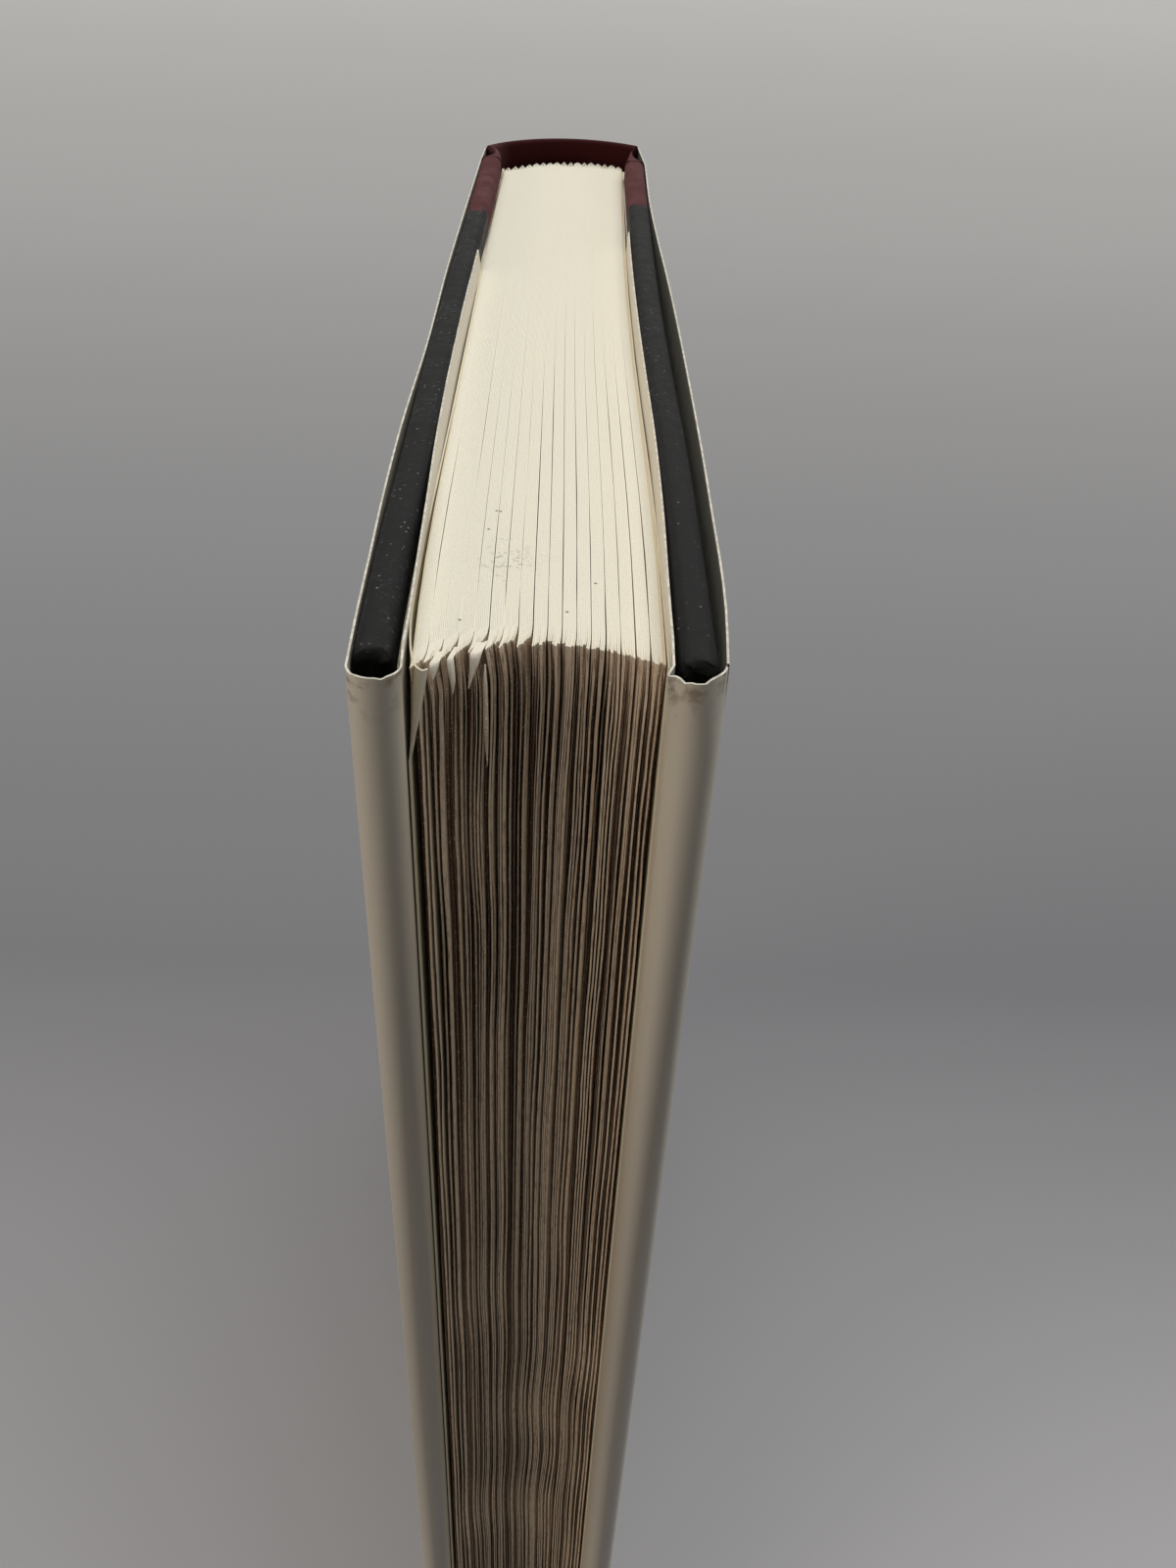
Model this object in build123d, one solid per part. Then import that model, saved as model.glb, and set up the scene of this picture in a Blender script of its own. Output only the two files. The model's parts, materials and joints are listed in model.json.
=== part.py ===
from build123d import *
import math
import os

# A case-bound book standing on its tail edges: millimetres, +Z towards the head,
# fore edge towards -Y, spine towards +Y, front cover at -X, back cover at +X.
# The origin is at the middle of the book's foot print, on the surface it stands on.

# Pages
leaf_height = 210.0  # tail to head of a trimmed leaf
leaf_width = 140.0  # spine shoulder to the corner of the fore edge
text_thickness = 18.2  # all leaves together, between the endpapers
rounding = 3.2  # how far the backs of the sections stand out past the shoulders
fore_hollow = 2.9  # how far the fore edge dips between its corners
section_count = 17  # folded and sewn sections
bundles_per_section = 4  # groups of leaf ends that show apart along the deckle
deckle_depth = 0.9  # unevenness of the untrimmed leaf ends
deckle_gap = 0.09  # width of the slits between bundles
deckle_slit = 1.3  # depth of those slits
back_crown = 0.14  # roundness of each section's folded back
lean_deg = 3.9  # the read book's spine leans: its front side is nearer the fore edge
deckle_steps = (2.4, 1.1)  # radians from bundle to bundle, of two waves that never fall into step
deckle_phase = 0.7

# Papers and cloths
endpaper = 0.15
mull = 0.2
liner = 0.2
covering = 0.25  # cloth and cover paper alike, so the case is flush
jacket_paper = 0.17
layer_gap = 0.06  # air on each side of a jacket flap

# Case
square = 3.0  # how far the case stands out past the pages
board = 2.3
board_edge_softness = 0.9  # covered and handled edges are nearly round
groove = 7.0  # width of the joint between the shoulder and the board
groove_floor = 1.15  # how far the cloth in the joint stays off the pages
groove_floor_back = 2.8  # how far the deepest line of the joint is from the shoulder
cloth_reach = 26.5  # cloth on the board, from its joint edge
turn_in = 15.0  # coverings folded over onto the inside of the boards
hollow_back = 1.4  # air between the lined sections and the spine strip
strip_thickness = 1.0
ear_reach = 2.3  # how far the spine strip's edge stands out past the pages

# Linings
mull_short = 20.0  # the mull stops this far from head and tail of the pages
mull_reach = 22.0  # mull pasted on the board, from its joint edge
liner_short = 5.0
endpaper_fold = 1.3  # the endpaper's fold lies this far from the shoulder

# Jacket
jacket_short = 0.5  # the jacket stops this far inside the case at head and tail
jacket_gap = 0.1  # between the jacket and what it covers, where they lie close
jacket_bulge = 1.3  # how far a jacket panel bows off its board half way
fold_slack = 0.4  # straight stretch between the board's fore edge and the round fold
front_flap = 93.0  # from the board's fore edge to the free edge of the flap
back_flap = 102.0

# Making
fillet_share = 0.45  # a rounding takes at most this share of its wall
cut_margin = 1.0  # how far a cutting box stands out past what it cuts
same_place = 1e-6  # edges nearer than this lie in one plane

# Layers from the pages outwards, as distances u from the pages' side
text_half = text_thickness / 2
flap_in = endpaper + layer_gap
flap_out = flap_in + jacket_paper
pastedown_in = flap_out + layer_gap
inlay_in = pastedown_in + endpaper
inlay = max(covering, mull)
board_in = inlay_in + inlay
board_out = board_in + board
cover_out = board_out + covering
panel_in = cover_out + jacket_gap
panel_out = panel_in + jacket_paper

# Distances v from the shoulder, negative towards the fore edge
case_fore = -(leaf_width + square)
fold_centre = case_fore - fold_slack
fold_radius = (panel_out - flap_in) / 2
joint_edge = -groove
cloth_edge = joint_edge - cloth_reach

# Roundings
board_rounding = min(board_edge_softness, fillet_share * board)
cover_rounding = board_rounding + covering / 2

# Heights
case_height = leaf_height + 2 * square
text_low = square
text_high = square + leaf_height
jacket_low = jacket_short
jacket_high = case_height - jacket_short

# The spine's arcs share one centre. The whole spine is turned by the lean.
lean = math.radians(lean_deg)
half_chord = text_half / math.cos(lean)
back_radius = (half_chord**2 + rounding**2) / (2 * rounding)
mull_radius = back_radius + mull
liner_radius = mull_radius + liner
strip_inner = liner_radius + hollow_back
strip_outer = strip_inner + strip_thickness
cloth_radius = strip_outer + covering
jacket_inner = cloth_radius + jacket_gap
jacket_outer = jacket_inner + jacket_paper
shoulder_angle = math.asin(half_chord / back_radius)
ear_angle = math.asin((text_half + ear_reach) / ((strip_inner + strip_outer) / 2))
side_shift = text_half * math.tan(lean)

# The shoulders' mean place puts the foot print's middle at the origin.
arc_centre = rounding - back_radius
back_reach = arc_centre * math.cos(lean) + jacket_outer
front_reach = side_shift - fold_centre + fold_radius
shoulder_y = (front_reach - back_reach) / 2

FRONT, BACK = -1, 1
SIDES = {"front": FRONT, "back": BACK}
UP = (0, 0, 1)


def beside(side, u, v):
    """The point u out from the pages' side and v from the shoulder, on one side."""
    return (side * (text_half + u), shoulder_y + side * side_shift + v)


def around(radius, angle):
    """The point of the leaning spine at a radius and an angle from its crown."""
    x = radius * math.sin(angle)
    y = arc_centre + radius * math.cos(angle)
    turned_x = x * math.cos(lean) - y * math.sin(lean)
    turned_y = x * math.sin(lean) + y * math.cos(lean)
    return (turned_x, shoulder_y + turned_y)


def spine_arc(radius, angle):
    """The arc over the spine from the front to the back."""
    return ThreePointArc(around(radius, -angle), around(radius, 0), around(radius, angle))


def prism(edges, low, high):
    """A closed outline made into a solid between two heights."""
    return extrude(Pos(0, 0, low) * make_face(edges), amount=high - low, dir=UP)


def plate(side, u0, u1, v0, v1, low, high):
    """A flat piece that lies along one side of the pages."""
    x0, y0 = beside(side, u0, v0)
    x1, y1 = beside(side, u1, v1)
    corner = Pos((x0 + x1) / 2, (y0 + y1) / 2, (low + high) / 2)
    return corner * Box(abs(x1 - x0), abs(y1 - y0), high - low)


def softened(piece, side, radius):
    """A plate with its edges rounded, apart from those at the joint."""
    joint_y = beside(side, 0, joint_edge)[1]
    rounded = [edge for edge in piece.edges() if abs(edge.center().Y - joint_y) > same_place]
    return fillet(rounded, radius)


def strip_ring(inner, outer, angle):
    """Outline of a curved strip along the spine, with square ends."""
    outside = spine_arc(outer, angle)
    inside = spine_arc(inner, angle)
    ends = [Line(inside @ 0, outside @ 0), Line(inside @ 1, outside @ 1)]
    return [outside, inside, *ends]


def joint_band(inner_board, outer_board, inner_floor, outer_floor, inner, outer, angle):
    """Outline of a sheet that runs from one board, through its joint, over the
    spine and through the other joint: each joint is a hollow curve."""
    edges = []
    ends = []
    for u_board, u_floor, radius in ((inner_board, inner_floor, inner), (outer_board, outer_floor, outer)):
        over = spine_arc(radius, angle)
        edges.append(over)
        for side, meet in ((FRONT, over @ 0), (BACK, over @ 1)):
            start = beside(side, u_board, joint_edge)
            floor = beside(side, u_floor, -groove_floor_back)
            edges.append(ThreePointArc(start, floor, meet))
            ends.append(start)
    edges.append(Line(ends[0], ends[2]))
    edges.append(Line(ends[1], ends[3]))
    return edges


# Text block


def fore_edge_y(x):
    """The hollow fore edge, with the lean."""
    across = x / text_half
    return shoulder_y - leaf_width + x * math.tan(lean) + fore_hollow * (1 - across**2)


def leaf_end(index):
    """Uneven ends of the leaves: a repeatable mix of two waves."""
    first_step, second_step = deckle_steps
    wave = math.sin(first_step * index) * math.cos(second_step * index + deckle_phase)
    return deckle_depth * 0.5 * (1 + wave)


def text_block():
    """All the sewn sections: pages are one solid, with slits along the deckle."""
    count = section_count * bundles_per_section
    pitch = text_thickness / count
    points = []
    for index in range(count):
        left = -text_half + index * pitch
        end = fore_edge_y(left + pitch / 2) + leaf_end(index)
        start_x = left + (deckle_gap / 2 if index > 0 else 0)
        stop_x = left + pitch - (deckle_gap / 2 if index < count - 1 else 0)
        points.append((start_x, end))
        points.append((stop_x, end))
        if index < count - 1:
            next_end = fore_edge_y(left + 1.5 * pitch) + leaf_end(index + 1)
            points.append((left + pitch, max(end, next_end) + deckle_slit))
    edges = [Polyline(*points)]
    edges.append(Line(points[0], beside(FRONT, 0, 0)))
    edges.append(Line(points[-1], beside(BACK, 0, 0)))
    step = 2 * shoulder_angle / section_count
    for index in range(section_count):
        start = -shoulder_angle + index * step
        sunk = back_radius - back_crown
        first = around(back_radius if index == 0 else sunk, start)
        last = around(back_radius if index == section_count - 1 else sunk, start + step)
        crown = back_radius - (back_crown / 2 if index in (0, section_count - 1) else 0)
        edges.append(ThreePointArc(first, around(crown, start + step / 2), last))
    return prism(edges, text_low, text_high)


# Endpapers, boards and their coverings


def endpaper_leaf(side):
    """The flyleaf and the stub that crosses the joint, folded as one sheet."""
    outline = [
        beside(side, 0, -leaf_width),
        beside(side, 0, -endpaper_fold),
        beside(side, 2 * endpaper, -endpaper_fold),
        beside(side, inlay_in, joint_edge),
        beside(side, pastedown_in, joint_edge),
        beside(side, endpaper, -endpaper_fold - endpaper),
        beside(side, endpaper, -leaf_width),
    ]
    return prism([Polyline(*outline, close=True)], text_low, text_high)


def mull_wing(side):
    """The mull pasted onto the inside of a board."""
    reach = joint_edge - mull_reach
    low, high = text_low + mull_short, text_high - mull_short
    return plate(side, board_in - mull, board_in, reach, joint_edge, low, high)


def pastedown(side):
    """The endpaper's outer half: it also fills the frame left by the turn-ins."""
    sheet = plate(side, pastedown_in, inlay_in, case_fore + square, joint_edge, text_low, text_high)
    inner = case_fore + turn_in
    filling = plate(side, inlay_in, board_in, inner, joint_edge, turn_in, case_height - turn_in)
    return sheet + (filling - mull_wing(side))


def board_plate(side):
    """A grey board, cut to the case's size less its covering."""
    fore = case_fore + covering
    piece = plate(side, board_in, board_out, fore, joint_edge, covering, case_height - covering)
    return softened(piece, side, board_rounding)


def covering_shell(side):
    """Everything that is wrapped round a board: its outside, three edges and turn-ins."""
    outside = plate(side, board_in - covering, cover_out, case_fore, joint_edge, 0, case_height)
    outside = softened(outside, side, cover_rounding)
    window = plate(
        side, board_in - covering, board_in, case_fore + turn_in, joint_edge, turn_in, case_height - turn_in
    )
    return outside - board_plate(side) - window


def cover_zone(side, v0, v1):
    """The stretch of a cover between two distances from the shoulder, at full height."""
    return plate(side, 0, cover_out + cut_margin, v0, v1, -cut_margin, case_height + cut_margin)


def cover_cloth(side):
    """The quarter cloth on a board."""
    return covering_shell(side) & cover_zone(side, cloth_edge, joint_edge)


def cover_paper(side):
    """The paper that covers the rest of a board."""
    return covering_shell(side) & cover_zone(side, case_fore - cut_margin, cloth_edge)


# Spine


def spine_cloth():
    """Cloth over the spine strip and through both joints, turned in at head and tail."""
    outer_layer = joint_band(
        board_out, cover_out, groove_floor, groove_floor + covering, strip_outer, cloth_radius, ear_angle
    )
    inner_layer = joint_band(
        board_in - covering, board_in, groove_floor - covering, groove_floor, strip_inner - covering,
        strip_inner, ear_angle
    )
    whole = joint_band(
        board_in - covering, cover_out, groove_floor - covering, groove_floor + covering,
        strip_inner - covering, cloth_radius, ear_angle
    )
    cloth = prism(outer_layer, 0, case_height)
    cloth += prism(whole, 0, covering)
    cloth += prism(whole, case_height - covering, case_height)
    cloth += prism(inner_layer, 0, turn_in)
    cloth += prism(inner_layer, case_height - turn_in, case_height)
    return cloth


def spine_strip():
    """The stiff strip inside the cloth."""
    return prism(strip_ring(strip_inner, strip_outer, ear_angle), covering, case_height - covering)


def spine_mull():
    """Open cloth glued over the sections' backs and through both joints."""
    floor = groove_floor - covering
    band = joint_band(
        board_in - mull, board_in, floor - mull, floor, back_radius, mull_radius, shoulder_angle
    )
    return prism(band, text_low + mull_short, text_high - mull_short)


def spine_liner():
    """Paper glued over the mull."""
    ring = strip_ring(mull_radius, liner_radius, shoulder_angle)
    return prism(ring, text_low + liner_short, text_high - liner_short)


# Dust jacket


def jacket_panel(side, flap):
    """One side of the jacket: a bowed panel, the round fold and the flap inside the board."""
    middle = (joint_edge + fold_centre) / 2
    flap_end = case_fore + flap
    turn = beside(side, (panel_out + flap_in) / 2, fold_centre - fold_radius)
    inner_turn = beside(side, (panel_out + flap_in) / 2, fold_centre - fold_radius + jacket_paper)
    outer = [
        ThreePointArc(
            beside(side, panel_out, joint_edge),
            beside(side, panel_out + jacket_bulge, middle),
            beside(side, panel_out, fold_centre),
        ),
        ThreePointArc(beside(side, panel_out, fold_centre), turn, beside(side, flap_in, fold_centre)),
        Line(beside(side, flap_in, fold_centre), beside(side, flap_in, flap_end)),
    ]
    inner = [
        ThreePointArc(
            beside(side, panel_in, joint_edge),
            beside(side, panel_in + jacket_bulge, middle),
            beside(side, panel_in, fold_centre),
        ),
        ThreePointArc(beside(side, panel_in, fold_centre), inner_turn, beside(side, flap_out, fold_centre)),
        Line(beside(side, flap_out, fold_centre), beside(side, flap_out, flap_end)),
    ]
    ends = [
        Line(beside(side, panel_in, joint_edge), beside(side, panel_out, joint_edge)),
        Line(beside(side, flap_in, flap_end), beside(side, flap_out, flap_end)),
    ]
    return prism([*outer, *inner, *ends], jacket_low, jacket_high)


def jacket_spine():
    """The jacket's spine, with the stretches that cross the joints."""
    edges = []
    ends = []
    for u, radius in ((panel_in, jacket_inner), (panel_out, jacket_outer)):
        over = spine_arc(radius, ear_angle)
        edges.append(over)
        for side, meet in ((FRONT, over @ 0), (BACK, over @ 1)):
            start = beside(side, u, joint_edge)
            edges.append(Line(start, meet))
            ends.append(start)
    edges.append(Line(ends[0], ends[2]))
    edges.append(Line(ends[1], ends[3]))
    return prism(edges, jacket_low, jacket_high)


pieces = {
    "text_block": text_block(),
    "spine_mull": spine_mull(),
    "spine_liner": spine_liner(),
    "spine_strip": spine_strip(),
    "spine_cloth": spine_cloth(),
    "jacket_spine": jacket_spine(),
    "jacket_front": jacket_panel(FRONT, front_flap),
    "jacket_back": jacket_panel(BACK, back_flap),
}
for name, side in SIDES.items():
    pieces[name + "_endpaper"] = endpaper_leaf(side)
    pieces[name + "_pastedown"] = pastedown(side)
    pieces[name + "_mull_wing"] = mull_wing(side)
    pieces[name + "_board"] = board_plate(side)
    pieces[name + "_cover_cloth"] = cover_cloth(side)
    pieces[name + "_cover_paper"] = cover_paper(side)

os.makedirs("parts", exist_ok=True)
for name, piece in pieces.items():
    piece.label = name
    export_step(piece, f"parts/{name}.step")

for name, side in SIDES.items():
    x, y = beside(side, pastedown_in, 0)
    print(f"{name} hinge at x {x:.3f}, y {y:.3f}")
print(f"shoulders at y {shoulder_y:.3f}, height {case_height:.1f}")
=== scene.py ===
# %% [markdown]
# A hardcover book in its dust jacket, standing closed on its tail with the fore edge towards us.
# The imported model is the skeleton: it says where every board, sheet and hinge is, in metres. Its
# solids are plain, so this lesson models every piece again as a fine mesh that stands for its solid
# and shows how this copy has bowed, leaned and worn.

# %% Load the frame
import json
import math

import bmesh
import bpy
import numpy as np
from mathutils import Matrix, Vector


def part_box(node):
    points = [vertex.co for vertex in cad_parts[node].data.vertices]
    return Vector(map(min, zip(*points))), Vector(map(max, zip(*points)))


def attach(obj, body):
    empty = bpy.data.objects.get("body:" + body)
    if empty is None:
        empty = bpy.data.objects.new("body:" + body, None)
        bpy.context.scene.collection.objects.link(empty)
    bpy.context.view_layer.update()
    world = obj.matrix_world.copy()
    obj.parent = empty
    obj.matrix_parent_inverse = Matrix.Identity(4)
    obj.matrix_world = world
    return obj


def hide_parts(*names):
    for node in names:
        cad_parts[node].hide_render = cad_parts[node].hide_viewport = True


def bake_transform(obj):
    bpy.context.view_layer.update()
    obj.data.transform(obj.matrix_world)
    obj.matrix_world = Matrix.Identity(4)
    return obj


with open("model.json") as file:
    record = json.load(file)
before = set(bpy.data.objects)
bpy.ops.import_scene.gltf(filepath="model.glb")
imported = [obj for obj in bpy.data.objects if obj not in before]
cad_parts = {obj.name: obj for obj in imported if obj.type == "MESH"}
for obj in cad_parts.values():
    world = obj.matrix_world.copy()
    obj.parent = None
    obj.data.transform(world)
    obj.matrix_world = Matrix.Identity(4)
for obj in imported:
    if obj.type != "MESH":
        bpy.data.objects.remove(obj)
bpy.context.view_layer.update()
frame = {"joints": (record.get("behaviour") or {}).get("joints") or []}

MM = 0.001

# %% [markdown]
# A bookbinder measures everything from the shoulder, the line beside the spine where the pages end
# and the cover turns. So places here are given as u, how far out from the pages' side, and v, how
# far from the shoulder, negative towards the fore edge. The shoulders themselves are read from the
# frame's hinges. A read book leans, so its front shoulder is nearer the fore edge than its back one.

# %% Measures from the frame
FRONT, BACK = -1, 1
SIDES = {"front": FRONT, "back": BACK}
pages_low, pages_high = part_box("text_block")
half = pages_high.x
tail, head = pages_low.z, pages_high.z
hinges = {joint["name"].split("_")[0]: Vector(joint["pos_m"]) for joint in frame["joints"]}
shoulder_y = (hinges["front"].y + hinges["back"].y) / 2
side_shift = (hinges["back"].y - hinges["front"].y) / 2
lean = math.atan2(side_shift, half)


def beside(side, u, v):
    """Plan point at u and v on one side of the pages; u and v may be arrays."""
    return side * (half + u), shoulder_y + side * side_shift + v


def layer(node, corner):
    """How far out from the pages' side a front node's face lies: corner 1 is its inner face."""
    return -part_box(node)[corner].x - half


def reach(node, corner):
    """How far from the shoulder a front node ends: corner 0 is its end at the fore edge."""
    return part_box(node)[corner].y - hinges["front"].y


pastedown_in = layer("front_pastedown", 1)
cover_in = layer("front_cover_paper", 1)
board_in = layer("front_board", 1)
board_out = layer("front_board", 0)
cover_out = layer("front_cover_paper", 0)
covering = cover_out - board_out
case_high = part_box("front_cover_paper")[1].z
case_fore = reach("front_cover_paper", 0)
joint_edge = reach("front_board", 1)
jacket_low, jacket_high = (corner.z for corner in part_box("jacket_front"))
print(f"pages {2 * half / MM:.1f} mm, joint {-joint_edge / MM:.1f} mm, lean {math.degrees(lean):.1f} deg")

# %% [markdown]
# The spine is a set of arcs with one centre, turned a little by the lean: the backs of the sections,
# the mull glued over them, an air gap, the stiff strip, and the cloth and jacket outside it. On this
# copy the spine has twisted further than the pages have. Arcs are a formula, so each layer's line is
# worked out from its radius, and the layers can't cut into each other.

# %% Arcs of the spine
leaf_width = 140.0 * MM
rounding = 3.2 * MM
mull_thickness = 0.2 * MM
liner_thickness = 0.2 * MM
hollow_back = 1.4 * MM
strip_thickness = 1.0 * MM
jacket_gap = 0.1 * MM
jacket_paper = 0.17 * MM
ear_reach = 2.3 * MM

SPINE_TWIST = math.radians(6)
SPINE_SETTLED = 0.16 * MM
spine_lean = lean + SPINE_TWIST
half_chord = half / math.cos(lean)
back_radius = (half_chord**2 + rounding**2) / (2 * rounding)
mull_radius = back_radius + mull_thickness
strip_inner = mull_radius + liner_thickness + hollow_back - SPINE_SETTLED
strip_outer = strip_inner + strip_thickness
cloth_radius = strip_outer + covering
arc_centre = rounding - back_radius
shoulder_angle = math.asin(half_chord / back_radius)
ear_angle = math.asin((half + ear_reach) / ((strip_inner + strip_outer) / 2))


def around(radius, angle):
    """Plan point of the leaning spine at a radius and an angle from its crown."""
    x = radius * np.sin(angle)
    y = arc_centre + radius * np.cos(angle)
    cosine, sine = math.cos(spine_lean), math.sin(spine_lean)
    return x * cosine - y * sine, shoulder_y + x * sine + y * cosine


print(f"backs of the sections on a {back_radius / MM:.1f} mm arc, ears at {math.degrees(ear_angle):.0f} deg")

# %% [markdown]
# A book that has been read is never quite flat. The boards have warped, the pages have settled a
# little towards the front cover, and the jacket springs off the boards. A few points along each
# side say how far, in millimetres, and `through` draws a smooth curve between them. A simulation
# can't know how this one was kept; these points were read off the photograph.

# %% How this copy has settled
PAGES_SIDE = {
    "front": ((-140, 0.1), (-132, 0.4), (-95, 0.6), (-60, 0.5), (-30, 0.4), (-7, 0.03), (0, 0)),
    "back": (
        (-140, 0.1), (-120, 0.2), (-105, 0), (-91, -0.3), (-75, -0.55),
        (-54, -0.65), (-31, -0.5), (-8, -0.2), (0, 0),
    ),
}
COVER_WARP = {
    "front": (
        (-143, 0.4), (-138, 0.55), (-130, 0.68), (-110, 0.65),
        (-75, 0.6), (-57, 0.4), (-38, 0.1), (-7, -0.25),
    ),
    "back": (
        (-145, 0.05), (-120, 0.1), (-105, -0.05), (-91, -0.35),
        (-75, -0.6), (-54, -0.7), (-31, -0.6), (-7, -0.45),
    ),
}
JACKET_STAND = {
    "front": (
        (-143, 4.0), (-138, 4.17), (-128, 4.35), (-118, 4.55), (-105, 4.6),
        (-84, 4.2), (-58, 4.13), (-38, 3.85), (-7, 3.3),
    ),
    "back": (
        (-143, 4.0), (-138, 4.38), (-118, 4.65), (-90, 4.48),
        (-61, 3.95), (-43, 3.4), (-29, 3.1), (-7, 3.2),
    ),
}


def through(points, at, column=1):
    """Smooth curve through rows of a place and its values in millimetres, level beyond its ends."""
    table = np.array(sorted(points), float).T * MM
    places, values = table[0], table[column]
    slopes = np.gradient(values, places)
    at = np.clip(at, places[0], places[-1])
    spot = np.clip(np.searchsorted(places, at) - 1, 0, len(places) - 2)
    width = places[spot + 1] - places[spot]
    t = (at - places[spot]) / width
    start = (1 + 2 * t) * (1 - t) ** 2 * values[spot] + t * (1 - t) ** 2 * width * slopes[spot]
    end = t**2 * (3 - 2 * t) * values[spot + 1] - t**2 * (1 - t) * width * slopes[spot + 1]
    return start + end


for name in SIDES:
    settled = [through(points[name], -75 * MM) / MM for points in (PAGES_SIDE, COVER_WARP)]
    print(f"{name}: half-way the pages stand {settled[0]:.2f} mm out, the board {settled[1]:.2f} mm")

# %% [markdown]
# The camera comes first, so that every later step can be judged in the final picture. The photograph
# was taken with a wide lens from very near, a hand's width from the head's near end: that is why the
# near end looks so much wider than the spine. Position and angles were fitted to the corners.

# %% Camera
FOCAL_PX = 1331.1
IMAGE_HEIGHT_PX = 1600
SENSOR_MM = 36.0
NEAREST_VISIBLE = 10 * MM
camera_place = Vector((1.06, -148.75, 265.21)) * MM
camera_pitch, camera_yaw, camera_roll = (math.radians(x) for x in (38.65, 2.1, 3.17))

camera = bpy.data.objects.new("camera", bpy.data.cameras.new("camera"))
bpy.context.scene.collection.objects.link(camera)
turned = Matrix.Rotation(-camera_yaw, 4, "Z") @ Matrix.Rotation(math.pi / 2 - camera_pitch, 4, "X")
camera.matrix_world = Matrix.Translation(camera_place) @ turned @ Matrix.Rotation(camera_roll, 4, "Z")
camera.data.sensor_width = SENSOR_MM
camera.data.lens = FOCAL_PX / IMAGE_HEIGHT_PX * SENSOR_MM
camera.data.clip_start = NEAREST_VISIBLE
bpy.context.scene.camera = camera
to_head = (camera_place - Vector((0, pages_low.y, head))).length
print(f"lens {camera.data.lens:.1f} mm, {to_head / MM:.0f} mm from the near end of the head")

# %% [markdown]
# Three small tools start every finish. `paint` turns a screen colour to the linear light that Blender
# works in. `add` puts one node in a material and wires it. `finish_of` starts a material from what
# paper and cloth have in common: no metal, and an index of refraction near 1.5.

# %% Tools for materials


def paint(code):
    """Linear colour of a hex screen colour."""
    parts = [int(code[i:i + 2], 16) / 255 for i in (1, 3, 5)]
    return [x / 12.92 if x <= 0.04045 else ((x + 0.055) / 1.055) ** 2.4 for x in parts] + [1.0]


def add(tree, kind, inputs=None, **settings):
    """A shader node with its settings; inputs are numbers, hex colours or other nodes' outputs."""
    node = tree.nodes.new("ShaderNode" + kind)
    for name, value in settings.items():
        setattr(node, name, value)
    for name, value in (inputs or {}).items():
        if isinstance(value, bpy.types.NodeSocket):
            tree.links.new(value, node.inputs[name])
        else:
            node.inputs[name].default_value = paint(value) if isinstance(value, str) else value
    return node


def finish_of(name, roughness, **sockets):
    """A new material, its node tree, its surface shader and the piece's own coordinates."""
    material = bpy.data.materials.new(name)
    material.use_nodes = True
    tree = material.node_tree
    shader = tree.nodes["Principled BSDF"]
    for socket, value in {"Roughness": roughness, "IOR": 1.5, **sockets}.items():
        shader.inputs[socket.replace("_", " ")].default_value = value
    return material, tree, shader, add(tree, "TexCoord").outputs["Object"]


print("middle grey on a screen is", round(paint("#808080")[0], 2), "of white in linear light")

# %% [markdown]
# Used paper has no single colour. `layered` lays colours over each other as stains and wear lie on
# it, each where its masks say. `marks` is the commonest mask: soft patches of noise, sized in real
# millimetres. `fade` is another, and grows evenly along one axis. `surface` adds fine relief as bumps,
# because threads and fibres are too many and too small to model.

# %% Tools for wear and relief


def marks(tree, place, size_mm, low, high, detail=2.0):
    """Mask that is 1 in soft patches about one size wide, where noise passes two levels."""
    noise = add(tree, "TexNoise", {"Vector": place, "Scale": 1 / (size_mm * MM), "Detail": detail})
    limits = {"Value": noise.outputs["Fac"], "From Min": low, "From Max": high}
    return add(tree, "MapRange", limits).outputs["Result"]


def fade(tree, place, axis, start, end):
    """Mask that goes from 0 at one coordinate to 1 at another, along one axis of the piece."""
    split = add(tree, "SeparateXYZ", {"Vector": place})
    limits = {"Value": split.outputs[axis], "From Min": start, "From Max": end}
    return add(tree, "MapRange", limits).outputs["Result"]


def layered(tree, base, *layers):
    """A base colour under layers: each has a colour, after the masks that must all be 1 to show it."""
    for *masks, colour in layers:
        share = masks[0]
        for mask in masks[1:]:
            share = add(tree, "Math", {0: share, 1: mask}, operation="MULTIPLY").outputs[0]
        base = add(tree, "Mix", {0: share, 6: base, 7: colour}, data_type="RGBA").outputs[2]
    return base


def surface(tree, shader, colour, *reliefs):
    """Give a shader its colour, and reliefs as (height, depth in mm), each over the one before."""
    tree.links.new(colour, shader.inputs["Base Color"])
    below = {}
    for height, depth_mm in reliefs:
        bump = add(tree, "Bump", {"Height": height, "Distance": depth_mm * MM, "Strength": 1.0, **below})
        below = {"Normal": bump.outputs["Normal"]}
        tree.links.new(bump.outputs["Normal"], shader.inputs["Normal"])
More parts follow.
